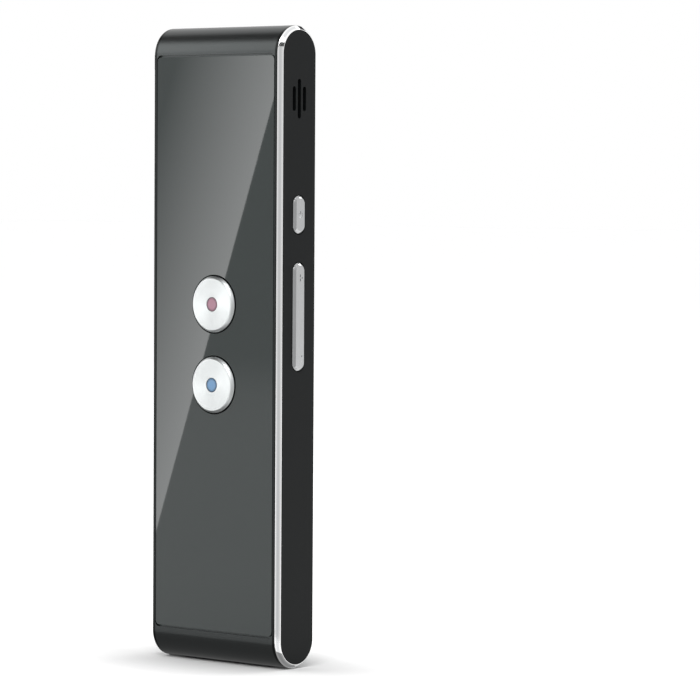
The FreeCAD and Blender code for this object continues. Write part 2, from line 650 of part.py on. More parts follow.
def snap_dome(z):
    """A shallow cap of spring foil standing on the flex, with a flat crown."""
    shoulder = DOME_RADIUS * DOME_CROWN
    return ring_x([(0, DOME_TOP_X), (shoulder, DOME_TOP_X), (DOME_RADIUS, FLEX_X),
                   (DOME_RADIUS - DOME_FOIL * DOME_RADIUS / DOME_HEIGHT, FLEX_X),
                   (shoulder - DOME_FOIL, DOME_TOP_X - DOME_FOIL),
                   (0, DOME_TOP_X - DOME_FOIL)], 0, z, 2 * SMALL_SIDES)


def flex_tail(x_pad, reach, z, width):
    """A flex's turn from a pad at x_pad down to the board's front, and its tail there."""
    low, high = z - width / 2, z + width / 2
    y_front = BOARD_FRONT_Y - FLEX_THICKNESS
    y_from, y_to = min(y_front, -reach), max(BOARD_FRONT_Y, -reach)
    turn = box(x_pad - FLEX_THICKNESS, x_pad, y_from, y_to, low, high)
    return turn.fuse(box(BOARD_X - FLEX_TAIL, x_pad, y_front, BOARD_FRONT_Y, low, high))


def tail_slot(x_pad, z, width):
    """The slot in the frame's side wall that a flex's tail passes through."""
    low, high = z - width / 2 - SIDE_KEY_GAP, z + width / 2 + SIDE_KEY_GAP
    return box(BAY_X - PAST, x_pad + PAST, BOARD_FRONT_Y - TAIL_ROOM,
               BOARD_FRONT_Y + FLEX_THICKNESS, low, high)


def side_key_flex():
    """The flexible circuit under the side keys, waisted where the rocker's feet stand."""
    strip = key_bar(FLEX_WALL_X, FLEX_X, FLEX_WIDTH, RECESS_TOP - RECESS_BOTTOM - FLEX_WIDTH,
                    (RECESS_TOP + RECESS_BOTTOM) / 2)
    notch = ROCKER_LUG_LENGTH / 2 + SIDE_KEY_GAP
    room = box(FLEX_WALL_X - PAST, FLEX_X + PAST, -FLEX_WIDTH, FLEX_WIDTH,
               ROCKER_Z - notch, ROCKER_Z + notch)
    waist = box(FLEX_WALL_X - PAST, FLEX_X + PAST, -FLEX_WAIST / 2, FLEX_WAIST / 2,
                ROCKER_Z - notch, ROCKER_Z + notch)
    tail = flex_tail(FLEX_X, FLEX_WIDTH / 2, FLEX_TAIL_Z, FLEX_TAIL)
    return strip.cut(room.cut(waist)).fuse(tail)


def screw_places():
    heights = [BODY_HEIGHT - drop for drop in SCREWS_FROM_TOP] + [SCREW_FROM_BOTTOM]
    return [(side * (BOARD_X - SCREW_INSET), z) for z in heights for side in (-1, 1)]


def usb_bay():
    """The room that the socket and the board's tab take out of the frame's side."""
    half = USB_LONG_SIDE / 2 + USB_FRAME_GAP
    return box(-PLATE_X, USB_MOUTH_X + USB_DEPTH + USB_FRAME_GAP,
               BOARD_FRONT_Y - USB_FRAME_GAP, USB_BACK_Y + USB_FRAME_GAP,
               USB_Z - half, USB_Z + half)


def lightening_pockets():
    """A row of cored-out pockets behind the frame's lower end."""
    span = 2 * BAY_X - (POCKET_COUNT - 1) * POCKET_RIB
    width = span / POCKET_COUNT
    pockets = []
    for i in range(POCKET_COUNT):
        x = -BAY_X + i * (width + POCKET_RIB)
        pockets.append(box(x, x + width, WEB_BACK_Y, CAVITY_BACK_Y,
                           BOARD_BOTTOM - POCKET_RIB,
                           BATTERY_FROM_BOTTOM - BATTERY_GAP - POCKET_RIB))
    return pockets


def inner_frame():
    """The moulded frame: board bay in front, battery, wiring and speaker behind."""
    frame = stadium(-FRAME_X, FRAME_X, FRAME_FRONT_Y, FRAME_BACK_Y,
                    CAP_WALL + FRAME_CLEARANCE, BODY_HEIGHT - CAP_WALL - FRAME_CLEARANCE)
    board_bay = box(-BAY_X, BAY_X, FRAME_FRONT_Y - PAST, BOARD_BACK_Y,
                    BOARD_BOTTOM - BOARD_SIDE_GAP, BOARD_TOP + BOARD_SIDE_GAP)
    back_bay = box(-BAY_X, BAY_X, WEB_BACK_Y, FRAME_BACK_Y + PAST,
                   BATTERY_FROM_BOTTOM - BATTERY_GAP, WIRING_TOP)
    recess = stadium(FLEX_WALL_X, FRAME_X + PAST, -RECESS_HALF, RECESS_HALF,
                     RECESS_BOTTOM, RECESS_TOP)
    groove = Part.makeCylinder(ROCKER_FOOT_RADIUS + RUNNING_GAP, 2 * RECESS_HALF,
                               V(ROCKER_PIVOT_X, -RECESS_HALF, ROCKER_Z), V(0, 1, 0))
    side_slot = tail_slot(FLEX_X, FLEX_TAIL_Z, FLEX_TAIL)
    well = sided_rod_y(0, GRILLE_Z, SPEAKER_DIAMETER / 2 + SPEAKER_GAP, SPEAKER_LEDGE_Y,
                       FRAME_BACK_Y + PAST, RING_SIDES)
    magnet_hole = sided_rod_y(0, GRILLE_Z, MAGNET_DIAMETER / 2 + MAGNET_GAP,
                              BOARD_BACK_Y - PAST, FRAME_BACK_Y, RING_SIDES)
    half_window = LEAD_WINDOW / 2
    window = box(-half_window, half_window, BOARD_BACK_Y - PAST, WEB_BACK_Y + PAST,
                 BATTERY_STOP_Z + STOP_RIB + BATTERY_GAP, WIRING_TOP - BATTERY_GAP)
    tools = [board_bay, back_bay, recess, groove, side_slot, well, magnet_hole, window,
             usb_bay(), contact_hole()] + lightening_pockets()
    mic_room = sided_rod_x(0, MIC_Z, MIC_RADIUS + MIC_BOOT_WALL + SCREW_GAP,
                           MIC_BACK_X - FLEX_THICKNESS - SCREW_GAP, FRAME_X + PAST, RING_SIDES)
    mic_slot = tail_slot(MIC_BACK_X, MIC_Z, MIC_TAIL)
    tools += [mic_room, mirrored(mic_room), mic_slot, mirrored(mic_slot)]
    for z in peg_heights():
        hole = sided_rod_x(0, z, PEG_RADIUS + SCREW_GAP, PLATE_X - PEG_LENGTH - SCREW_GAP,
                           FRAME_X + PAST)
        tools += [hole, mirrored(hole)]
    frame = frame.cut(tools)
    bosses = [sided_rod_y(x, z, BOSS_RADIUS, WEB_BACK_Y, BOARD_BACK_Y + SCREW_LENGTH)
              for x, z in screw_places()]
    stop = box(-BAY_X, BAY_X, WEB_BACK_Y, BATTERY_BACK_Y, BATTERY_STOP_Z,
               BATTERY_STOP_Z + STOP_RIB)
    gap = box(-half_window, half_window, WEB_BACK_Y, BATTERY_BACK_Y + PAST,
              BATTERY_STOP_Z - PAST, BATTERY_STOP_Z + STOP_RIB + PAST)
    frame = frame.fuse(bosses + [stop.cut(gap)])
    cores = [sided_rod_y(x, z, SCREW_RADIUS + SCREW_GAP, BOARD_BACK_Y - PAST,
                         BOARD_BACK_Y + SCREW_LENGTH + PAST) for x, z in screw_places()]
    return frame.cut(cores)


def main_board():
    """The circuit board, with screw holes and a tab under the charging socket."""
    board = box(-BOARD_X, BOARD_X, BOARD_FRONT_Y, BOARD_BACK_Y, BOARD_BOTTOM, BOARD_TOP)
    half = USB_LONG_SIDE / 2
    tab = box(-FRAME_X, -BOARD_X, BOARD_FRONT_Y, BOARD_BACK_Y, USB_Z - half, USB_Z + half)
    holes = [sided_rod_y(x, z, SCREW_RADIUS + SCREW_GAP, BOARD_FRONT_Y - PAST,
                         BOARD_BACK_Y + PAST)
             for x, z in screw_places()]
    return board.fuse(tab).cut(holes)


def board_screws():
    """Six pan-head screws that hold the board on the frame's bosses."""
    y_head = BOARD_FRONT_Y - SCREW_HEAD
    y_tip = BOARD_BACK_Y + SCREW_LENGTH
    profile = [(0, y_head), (SCREW_HEAD_FLAT, y_head),
               (SCREW_HEAD_RADIUS, y_head + SCREW_HEAD / 2), (SCREW_HEAD_RADIUS, BOARD_FRONT_Y),
               (SCREW_RADIUS, BOARD_FRONT_Y), (SCREW_RADIUS, y_tip - SCREW_RADIUS),
               (SCREW_POINT, y_tip), (0, y_tip)]
    return [ring_y(profile, x, z, SMALL_SIDES) for x, z in screw_places()]


def board_chips():
    """Moulded chips on the board's front: processor, memory, amplifier, charger."""
    places = [(x, BODY_HEIGHT - drop, w, h) for x, drop, w, h in CHIPS_FROM_TOP.values()]
    places += CHIPS_FROM_BOTTOM.values()
    return [box(x - w / 2, x + w / 2, BOARD_FRONT_Y - CHIP_HEIGHT, BOARD_FRONT_Y,
                z - h / 2, z + h / 2) for x, z, w, h in places]


def radio_shield():
    """The sheet-metal can over the radio, open towards the board."""
    half, rise = SHIELD_WIDTH / 2, SHIELD_LENGTH / 2
    can = box(-half, half, BOARD_FRONT_Y - SHIELD_HEIGHT, BOARD_FRONT_Y,
              SHIELD_FROM_BOTTOM - rise, SHIELD_FROM_BOTTOM + rise)
    inside = box(SHIELD_SHEET - half, half - SHIELD_SHEET,
                 BOARD_FRONT_Y - SHIELD_HEIGHT + SHIELD_SHEET, BOARD_FRONT_Y + PAST,
                 SHIELD_FROM_BOTTOM - rise + SHIELD_SHEET,
                 SHIELD_FROM_BOTTOM + rise - SHIELD_SHEET)
    return can.cut(inside)


def key_lights():
    """A light-emitting diode above and below each tactile switch."""
    reach = SWITCH_SIDE / 2 + LED_SIDE
    lights = []
    for z in KEY_HEIGHTS.values():
        for end in (-1, 1):
            lights.append(box(-LED_SIDE / 2, LED_SIDE / 2, BOARD_FRONT_Y - LED_HEIGHT,
                              BOARD_FRONT_Y, z + end * reach - LED_SIDE / 2,
                              z + end * reach + LED_SIDE / 2))
    return lights


def battery_cell():
    """A lithium pouch with rounded long edges."""
    half = BATTERY_WIDTH / 2
    cell = box(-half, half, BATTERY_FRONT_Y, BATTERY_BACK_Y, BATTERY_FROM_BOTTOM, BATTERY_TOP)
    radius = min(BATTERY_ROUND, (BATTERY_BACK_Y - BATTERY_FRONT_Y) / 2 - RUNNING_GAP)
    return cell.makeFillet(radius, edges_along(cell, V(0, 0, 1)))


def battery_board():
    """The protection board along the pouch's upper edge."""
    half = BATTERY_WIDTH / 2 - BATTERY_ROUND
    return box(-half, half, BATTERY_FRONT_Y, BATTERY_FRONT_Y + BOARD_THICKNESS,
               BATTERY_TOP, BATTERY_TOP + BATTERY_BOARD)


def battery_tape():
    half = BATTERY_WIDTH / 2 - BATTERY_ROUND
    return box(-half, half, WEB_BACK_Y, BATTERY_FRONT_Y,
               BATTERY_FROM_BOTTOM + BATTERY_ROUND, BATTERY_TOP - BATTERY_ROUND)


def lead_socket_z():
    """Centre height of the battery socket, in the frame's wiring window."""
    return (BATTERY_STOP_Z + STOP_RIB + WIRING_TOP) / 2


def battery_socket():
    """The two-pin socket on the board's back, open downwards for the leads."""
    half = SOCKET_WIDTH / 2
    z = lead_socket_z()
    body = box(-half, half, BOARD_BACK_Y, BOARD_BACK_Y + SOCKET_HEIGHT, z - SOCKET_LENGTH / 2,
               z + SOCKET_LENGTH / 2)
    y = BOARD_BACK_Y + SOCKET_HEIGHT / 2
    room = LEAD_DIAMETER / 2 + RUNNING_GAP
    bores = [box(side * LEAD_PITCH / 2 - room, side * LEAD_PITCH / 2 + room, y - room, y + room,
                 z - SOCKET_LENGTH / 2, z) for side in (-1, 1)]
    return body.cut(bores)


def pipe(points, radii, radius):
    """A tube that starts upwards, along straight runs joined by tangent arcs."""
    edges = []
    start = points[0]
    for i in range(1, len(points) - 1):
        before, corner, after = points[i - 1], points[i], points[i + 1]
        u = (before - corner).normalize()
        w = (after - corner).normalize()
        half_turn = u.getAngle(w) / 2
        reach = radii[i - 1] / math.tan(half_turn)
        first = corner + u * reach
        last = corner + w * reach
        bisector = (u + w).normalize()
        middle = corner + bisector * (radii[i - 1] / math.sin(half_turn) - radii[i - 1])
        edges.append(Part.LineSegment(start, first).toShape())
        edges.append(Part.Arc(first, middle, last).toShape())
        start = last
    edges.append(Part.LineSegment(start, points[-1]).toShape())
    path = Part.Wire(edges)
    ring = [points[0] + V(radius * math.cos(a), radius * math.sin(a), 0)
            for a in side_angles(SMALL_SIDES)]
    return path.makePipeShell([Part.makePolygon(ring + ring[:1])], True, False)


def battery_leads():
    """Two leads from the protection board, stepping over to the socket's bores."""
    y_from = BATTERY_FRONT_Y + BOARD_THICKNESS / 2
    y_to = BOARD_BACK_Y + SOCKET_HEIGHT / 2
    z_from = BATTERY_TOP + BATTERY_BOARD
    z_to = lead_socket_z()
    rise = z_to - z_from
    leads = []
    for side in (-1, 1):
        x = side * LEAD_PITCH / 2
        route = [V(x, y_from, z_from), V(x, y_from, z_from + rise * LEAD_STEP_FROM),
                 V(x, y_to, z_from + rise * LEAD_STEP_TO), V(x, y_to, z_to)]
        leads.append(pipe(route, [LEAD_BEND, LEAD_BEND], LEAD_DIAMETER / 2))
    return leads


def speaker_basket():
    """The moulded ring that carries the cone, with a floor round the magnet."""
    r_out = SPEAKER_DIAMETER / 2
    r_in = r_out - SPEAKER_RIM_WIDTH
    r_floor = MAGNET_DIAMETER / 2 - MAGNET_LIP + RUNNING_GAP
    y_floor = SPEAKER_LEDGE_Y + BASKET_FLOOR
    return ring_y([(r_floor, SPEAKER_LEDGE_Y), (r_out, SPEAKER_LEDGE_Y), (r_out, GASKET_Y),
                   (r_in + SURROUND_LAND, GASKET_Y), (r_in + SURROUND_LAND, SURROUND_Y),
                   (r_in, SURROUND_Y), (r_in, y_floor), (r_floor, y_floor)], 0, GRILLE_Z)


def speaker_magnet():
    """The steel pot with its pole and the ring gap that the voice coil moves in."""
    r_out = MAGNET_DIAMETER / 2
    r_neck = r_out - MAGNET_LIP
    y_top = SPEAKER_LEDGE_Y + BASKET_FLOOR
    r_pole = COIL_RADIUS - COIL_WALL - COIL_GAP
    r_ring = COIL_RADIUS + COIL_WALL + COIL_GAP
    y_gap = COIL_BACK_Y - CONE_TRAVEL - COIL_GAP
    return ring_y([(0, MAGNET_BACK_Y), (r_out, MAGNET_BACK_Y), (r_out, SPEAKER_LEDGE_Y),
                   (r_neck, SPEAKER_LEDGE_Y), (r_neck, y_top), (r_ring, y_top),
                   (r_ring, y_gap), (r_pole, y_gap), (r_pole, y_top), (0, y_top)],
                  0, GRILLE_Z)


def thin_sheet(points):
    """Gives (radius, y) points the foil's thickness, and revolves the strip."""
    back = [(r, y - FOIL) for r, y in reversed(points)]
    return ring_y(points + back, 0, GRILLE_Z)


def voice_coil():
    """The wound former under the cone."""
    r0 = COIL_RADIUS - COIL_WALL / 2
    r1 = COIL_RADIUS + COIL_WALL / 2
    y_top = CONE_Y - FOIL
    return ring_y([(r0, COIL_BACK_Y), (r1, COIL_BACK_Y), (r1, y_top), (r0, y_top)],
                  0, GRILLE_Z)


def speaker_cone():
    """The moving diaphragm: a low centre cap and a shallow cone."""
    return thin_sheet([(0, CONE_Y + CONE_RISE), (COIL_RADIUS / 2, CONE_Y + CONE_CROWN),
                       (COIL_RADIUS - COIL_WALL, CONE_Y), (COIL_RADIUS + COIL_WALL, CONE_Y),
                       (CONE_RADIUS, CONE_Y + CONE_RISE)])


def speaker_surround():
    """The soft half roll between the cone's edge and the basket's land."""
    r0 = CONE_RADIUS
    r_in = CONE_RADIUS + SURROUND_WIDTH
    r1 = r_in + SURROUND_LAND - RUNNING_GAP
    y_edge = SURROUND_Y + FOIL
    y_cone = CONE_Y + CONE_RISE
    third = SURROUND_WIDTH / 3
    return thin_sheet([(r0, y_cone), (r0 + third, y_edge + SURROUND_ROLL),
                       (r_in - third, y_edge + SURROUND_ROLL), (r_in, y_edge), (r1, y_edge)])


def speaker_gasket():
    """A foam ring between the basket and the net."""
    r_out = SPEAKER_DIAMETER / 2
    r_in = r_out - SPEAKER_RIM_WIDTH
    y_net = GASKET_Y + GASKET
    return ring_y([(r_in, GASKET_Y), (r_out, GASKET_Y), (r_out, y_net), (r_in, y_net)],
                  0, GRILLE_Z)


def speaker_net():
    """The fine net against the inside of the grille."""
    r_out = SPEAKER_DIAMETER / 2
    y_from = GASKET_Y + GASKET
    return ring_y([(0, y_from), (r_out, y_from), (r_out, CAVITY_BACK_Y), (0, CAVITY_BACK_Y)],
                  0, GRILLE_Z)


def contact_hole():
    """A passage in the frame for the loudspeaker's two spring contacts."""
    half = CONTACT_PITCH / 2 + CONTACT_WIDTH
    z = CONTACT_Z
    return box(-half, half, BOARD_BACK_Y - PAST, SPEAKER_LEDGE_Y + PAST,
               z - CONTACT_LENGTH, z + CONTACT_LENGTH)


def speaker_contacts():
    """Two folded spring strips between the basket and pads on the board's back."""
    z = CONTACT_Z
    half = CONTACT_LENGTH / 2
    t = CONTACT_SHEET
    y0, y1 = BOARD_BACK_Y, SPEAKER_LEDGE_Y
    fold = [(y0, z - half), (y0, z + half), (y0 + t, z + half), (y1 - t, z - half + 2 * t),
            (y1 - t, z + half), (y1, z + half), (y1, z - half), (y1 - t, z - half),
            (y0 + t, z + half - 2 * t), (y0 + t, z - half)]
    strips = []
    for side in (-1, 1):
        x = side * CONTACT_PITCH / 2
        strips.append(prism_x(fold, x - CONTACT_WIDTH / 2, x + CONTACT_WIDTH / 2))
    return strips


def microphone():
    """A round capsule, facing +X."""
    x_face = MIC_BACK_X + MIC_THICKNESS
    return ring_x([(0, MIC_BACK_X), (MIC_RADIUS, MIC_BACK_X), (MIC_RADIUS, x_face),
                   (0, x_face)], 0, MIC_Z)


def mic_boot():
    """The rubber cup round a capsule, sealed against the side plate round its port."""
    r_out = MIC_RADIUS + MIC_BOOT_WALL
    r_in = MIC_RADIUS + RUNNING_GAP
    x_face = PLATE_X - MIC_BOOT_WALL
    return ring_x([(MIC_PORT_RADIUS, x_face), (r_in, x_face), (r_in, MIC_BACK_X),
                   (r_out, MIC_BACK_X), (r_out, PLATE_X), (MIC_PORT_RADIUS, PLATE_X)],
                  0, MIC_Z)


def mic_flex():
    """The flex on a capsule's back, turned over onto the board."""
    reach = MIC_PAD / 2
    pad = box(MIC_BACK_X - FLEX_THICKNESS, MIC_BACK_X, -reach, reach,
              MIC_Z - MIC_TAIL / 2, MIC_Z + MIC_TAIL / 2)
    return pad.fuse(flex_tail(MIC_BACK_X, reach, MIC_Z, MIC_TAIL))


def usb_shell():
    """The socket's folded steel shell."""
    x_back = USB_MOUTH_X + USB_DEPTH
    outer = prism_x(usb_outline(0, 0), USB_MOUTH_X, x_back)
    inner = prism_x(usb_outline(-USB_SHEET, -USB_SHEET), USB_MOUTH_X - PAST, x_back + PAST)
    return outer.cut(inner)


def usb_tongue():
    """The moulded insert: a block that closes the shell's back, and its tongue."""
    x_back = USB_MOUTH_X + USB_DEPTH
    block = prism_x(usb_outline(-USB_SHEET, -USB_SHEET), x_back - USB_BLOCK, x_back)
    half = USB_TONGUE_WIDTH / 2
    y = USB_BACK_Y - USB_SHEET - USB_TONGUE_ROOM
    blade = box(USB_MOUTH_X + USB_SHEET, x_back - USB_BLOCK, y - USB_TONGUE, y,
                USB_Z - half, USB_Z + half)
    return block.fuse(blade)


def antenna():
    """A ceramic chip antenna at the board's lower edge."""
    half = ANTENNA_WIDTH / 2
    rise = ANTENNA_LENGTH / 2
    return box(-half, half, BOARD_FRONT_Y - ANTENNA_HEIGHT, BOARD_FRONT_Y,
               ANTENNA_FROM_BOTTOM - rise, ANTENNA_FROM_BOTTOM + rise)


def pieces():
    """Every piece by name. A list is a group of like pieces in one node."""
    made = {
        "sleeve": sleeve(), "front_panel": front_panel(), "panel_tape": panel_tape(),
        "right_side_plate": right_side_plate(), "left_side_plate": left_side_plate(),
        "power_key": power_key(), "volume_rocker": volume_rocker(),
        "power_dome": snap_dome(POWER_Z),
        "volume_up_dome": snap_dome(ROCKER_Z + ROCKER_CONTACT),
        "volume_down_dome": snap_dome(ROCKER_Z - ROCKER_CONTACT),
        "side_key_flex": side_key_flex(), "inner_frame": inner_frame(),
        "main_board": main_board(), "board_screws": board_screws(),
        "board_chips": board_chips(), "radio_shield": radio_shield(),
        "key_lights": key_lights(), "antenna": antenna(),
        "battery_cell": battery_cell(), "battery_board": battery_board(),
        "battery_tape": battery_tape(), "battery_socket": battery_socket(),
        "battery_leads": battery_leads(),
        "speaker_basket": speaker_basket(), "speaker_magnet": speaker_magnet(),
        "voice_coil": voice_coil(), "speaker_cone": speaker_cone(),
        "speaker_surround": speaker_surround(), "speaker_gasket": speaker_gasket(),
        "speaker_net": speaker_net(), "speaker_contacts": speaker_contacts(),
        "usb_shell": usb_shell(), "usb_tongue": usb_tongue(),
    }
    for level, z in KEY_HEIGHTS.items():
        made[level + "_key_cap"] = key_cap(z)
        made[level + "_key_base"] = key_base(z)
        made[level + "_key_lens"] = key_lens(z)
        made[level + "_switch"] = switch_case(z)
        made[level + "_plunger"] = switch_plunger(z)
    for name, shape in (("microphone", microphone()), ("mic_boot", mic_boot()),
                        ("mic_flex", mic_flex())):
        made["right_" + name] = shape
        made["left_" + name] = mirrored(shape)
    return made


os.makedirs("parts", exist_ok=True)
for node, piece in pieces().items():
    if isinstance(piece, list):
        piece = Part.makeCompound(piece)
    piece.exportStep("parts/" + node + ".step")
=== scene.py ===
import json
import math

import bpy
from mathutils import Matrix, Vector

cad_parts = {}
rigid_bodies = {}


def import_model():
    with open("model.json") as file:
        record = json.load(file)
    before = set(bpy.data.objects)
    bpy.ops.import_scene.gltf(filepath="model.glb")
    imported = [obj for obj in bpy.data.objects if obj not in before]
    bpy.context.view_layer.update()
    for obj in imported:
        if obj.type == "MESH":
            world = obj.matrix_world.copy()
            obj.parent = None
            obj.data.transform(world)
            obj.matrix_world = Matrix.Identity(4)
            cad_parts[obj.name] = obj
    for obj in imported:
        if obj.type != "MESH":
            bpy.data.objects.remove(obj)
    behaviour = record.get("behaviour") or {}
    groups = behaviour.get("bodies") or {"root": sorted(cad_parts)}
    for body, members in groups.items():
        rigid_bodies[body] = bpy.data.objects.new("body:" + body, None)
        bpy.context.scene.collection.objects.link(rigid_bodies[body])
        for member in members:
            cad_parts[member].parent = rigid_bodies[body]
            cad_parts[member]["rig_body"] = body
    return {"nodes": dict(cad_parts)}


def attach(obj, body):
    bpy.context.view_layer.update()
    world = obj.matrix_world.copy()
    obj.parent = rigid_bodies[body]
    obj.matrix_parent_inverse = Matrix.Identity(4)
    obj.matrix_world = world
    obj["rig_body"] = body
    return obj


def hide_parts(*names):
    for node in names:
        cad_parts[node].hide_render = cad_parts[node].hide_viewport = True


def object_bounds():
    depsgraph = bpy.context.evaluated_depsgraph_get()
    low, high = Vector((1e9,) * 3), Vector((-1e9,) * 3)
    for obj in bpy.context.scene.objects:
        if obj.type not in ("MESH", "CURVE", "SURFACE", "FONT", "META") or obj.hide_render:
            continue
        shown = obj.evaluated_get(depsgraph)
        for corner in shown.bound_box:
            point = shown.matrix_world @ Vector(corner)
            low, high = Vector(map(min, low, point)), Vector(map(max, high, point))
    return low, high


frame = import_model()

cad_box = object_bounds()


# The inner frame is the skeleton that everything is screwed or stuck to.
# It is moulded in black glass-filled plastic, with short fibres just under its skin.
def grainy(name, colour, metallic, roughness, grain, relief, spread=0.12):
    """A finish whose colour, roughness and relief all follow one fine grain."""
    material = bpy.data.materials.new(name)
    material.use_nodes = True
    nodes, links = material.node_tree.nodes, material.node_tree.links
    shader = nodes["Principled BSDF"]
    shader.inputs["Metallic"].default_value = metallic
    place = nodes.new("ShaderNodeTexCoord")
    speckle = nodes.new("ShaderNodeTexNoise")
    speckle.inputs["Scale"].default_value = 1 / grain
    speckle.inputs["Detail"].default_value = 3
    links.new(place.outputs["Object"], speckle.inputs["Vector"])
    tint = nodes.new("ShaderNodeMix")
    tint.data_type = "RGBA"
    tint.inputs[6].default_value = [c * (1 - spread) for c in colour] + [1]
    tint.inputs[7].default_value = [c * (1 + spread) for c in colour] + [1]
    links.new(speckle.outputs["Fac"], tint.inputs["Factor"])
    links.new(tint.outputs[2], shader.inputs["Base Color"])
    gloss = nodes.new("ShaderNodeMapRange")
    gloss.inputs["To Min"].default_value = roughness * 0.85
    gloss.inputs["To Max"].default_value = roughness * 1.15
    links.new(speckle.outputs["Fac"], gloss.inputs["Value"])
    links.new(gloss.outputs["Result"], shader.inputs["Roughness"])
    bump = nodes.new("ShaderNodeBump")
    bump.inputs["Strength"].default_value = 0.5
    bump.inputs["Distance"].default_value = relief
    links.new(speckle.outputs["Fac"], bump.inputs["Height"])
    links.new(bump.outputs["Normal"], shader.inputs["Normal"])
    return material


def dress(material, *names):
    """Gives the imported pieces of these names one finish."""
    for name in names:
        slots = frame["nodes"][name].data.materials
        slots.clear()
        slots.append(material)


glass_filled_plastic = grainy("glass_filled_plastic", (0.022, 0.023, 0.025), 0, 0.5, 0.0004, 0.00003)
dress(glass_filled_plastic, "inner_frame")


# The main board is glass cloth with a green solder mask over its copper tracks.
# The mask is a little raised along the tracks, and the chips on it are black epoxy.
def tracked_board(name, mask, copper, pitch):
    """Solder mask over tracks that run both ways at the pitch."""
    material = grainy(name, mask, 0, 0.35, pitch * 2, 0.00001)
    nodes, links = material.node_tree.nodes, material.node_tree.links
    shader = nodes["Principled BSDF"]
    tint = shader.inputs["Base Color"].links[0].from_node
    place = next(n for n in nodes if n.type == "TEX_COORD")
    tracks = nodes.new("ShaderNodeTexBrick")
    tracks.inputs["Scale"].default_value = 1 / pitch
    tracks.inputs["Mortar Size"].default_value = 0.06
    tracks.inputs["Color1"].default_value = (0, 0, 0, 1)
    tracks.inputs["Color2"].default_value = (0, 0, 0, 1)
    tracks.inputs["Mortar"].default_value = (1, 1, 1, 1)
    turn = nodes.new("ShaderNodeMapping")
    turn.inputs["Rotation"].default_value = (math.radians(90), 0, 0)
    links.new(place.outputs["Object"], turn.inputs["Vector"])
    links.new(turn.outputs["Vector"], tracks.inputs["Vector"])
    plated = nodes.new("ShaderNodeMix")
    plated.data_type = "RGBA"
    plated.inputs[7].default_value = (*copper, 1)
    links.new(tracks.outputs["Color"], plated.inputs["Factor"])
    links.new(tint.outputs[2], plated.inputs[6])
    links.new(plated.outputs[2], shader.inputs["Base Color"])
    return material


solder_mask = tracked_board("solder_mask", (0.01, 0.09, 0.045), (0.03, 0.2, 0.08), 0.0012)
dress(solder_mask, "main_board", "battery_board")
chip_epoxy = grainy("chip_epoxy", (0.012, 0.012, 0.013), 0, 0.45, 0.00012, 0.000006)
dress(chip_epoxy, "board_chips")


# Stamped and turned steel: the tinned cover over the radio, the board's six screws, the switch cases,
# the snap domes and the speaker's spring contacts. Each shows the fine marks of its rolling.
def rolled_metal(name, colour, roughness, lay, across):
    """Metal with fine marks that run one way, so its grain is stretched along the lay."""
    material = grainy(name, colour, 1, roughness, across, 0.000003, 0.06)
    nodes, links = material.node_tree.nodes, material.node_tree.links
    place = next(n for n in nodes if n.type == "TEX_COORD")
    speckle = next(n for n in nodes if n.type == "TEX_NOISE")
    stretch = nodes.new("ShaderNodeMapping")
    stretch.inputs["Scale"].default_value = lay
    links.new(place.outputs["Object"], stretch.inputs["Vector"])
    links.new(stretch.outputs["Vector"], speckle.inputs["Vector"])
    return material


tinned_steel = rolled_metal("tinned_steel", (0.62, 0.61, 0.58), 0.32, (1, 1, 0.06), 0.0002)
dress(tinned_steel, "radio_shield", "upper_switch", "lower_switch")
dress(tinned_steel, "power_dome", "volume_up_dome", "volume_down_dome", "speaker_contacts")
zinc_plate = rolled_metal("zinc_plate", (0.5, 0.5, 0.52), 0.28, (1, 0.2, 1), 0.0003)
dress(zinc_plate, "board_screws")
plunger_plastic = grainy("plunger_plastic", (0.5, 0.48, 0.42), 0, 0.4, 0.0003, 0.00001)
dress(plunger_plastic, "upper_plunger", "lower_plunger", "battery_socket")


# The radio's aerial is a block of white fired ceramic, and a small light sits under each talk key's dot.
# The lights are clear epoxy over yellow phosphor.
fired_ceramic = grainy("fired_ceramic", (0.72, 0.7, 0.64), 0, 0.55, 0.0001, 0.000008)
dress(fired_ceramic, "antenna")
light_phosphor = grainy("light_phosphor", (0.75, 0.6, 0.12), 0, 0.3, 0.0001, 0.000004)
dress(light_phosphor, "key_lights")


# The battery is a flat cell in an aluminium-laminate pouch, stuck down with foam tape.
# Its leads are fine copper strand in a red and black sheath.
pouch_foil = rolled_metal("pouch_foil", (0.55, 0.56, 0.57), 0.42, (1, 1, 0.5), 0.0015)
dress(pouch_foil, "battery_cell")
foam_tape = grainy("foam_tape", (0.03, 0.03, 0.032), 0, 0.85, 0.00015, 0.00003)
dress(foam_tape, "battery_tape", "panel_tape", "speaker_gasket")
lead_sheath = grainy("lead_sheath", (0.35, 0.02, 0.015), 0, 0.4, 0.0005, 0.000005)
dress(lead_sheath, "battery_leads")


# The loudspeaker: a pressed basket, an iron magnet cup, a coil of copper wire
# and a paper cone in a rubber surround.
dress(glass_filled_plastic, "speaker_basket")
nickel_iron = rolled_metal("nickel_iron", (0.42, 0.41, 0.39), 0.3, (1, 1, 1), 0.0004)
dress(nickel_iron, "speaker_magnet")


def wound_wire(name, colour, wire):
    """Enamelled wire in turns stacked along Y."""
    material = grainy(name, colour, 1, 0.3, wire, 0.000005)
    nodes, links = material.node_tree.nodes, material.node_tree.links
    place = next(n for n in nodes if n.type == "TEX_COORD")
    bump = next(n for n in nodes if n.type == "BUMP")
    turns = nodes.new("ShaderNodeTexWave")
    turns.bands_direction = "Y"
    turns.inputs["Scale"].default_value = 1 / wire / 3.2
    links.new(place.outputs["Object"], turns.inputs["Vector"])
    links.new(turns.outputs["Fac"], bump.inputs["Height"])
    bump.inputs["Distance"].default_value = wire / 3
    return material


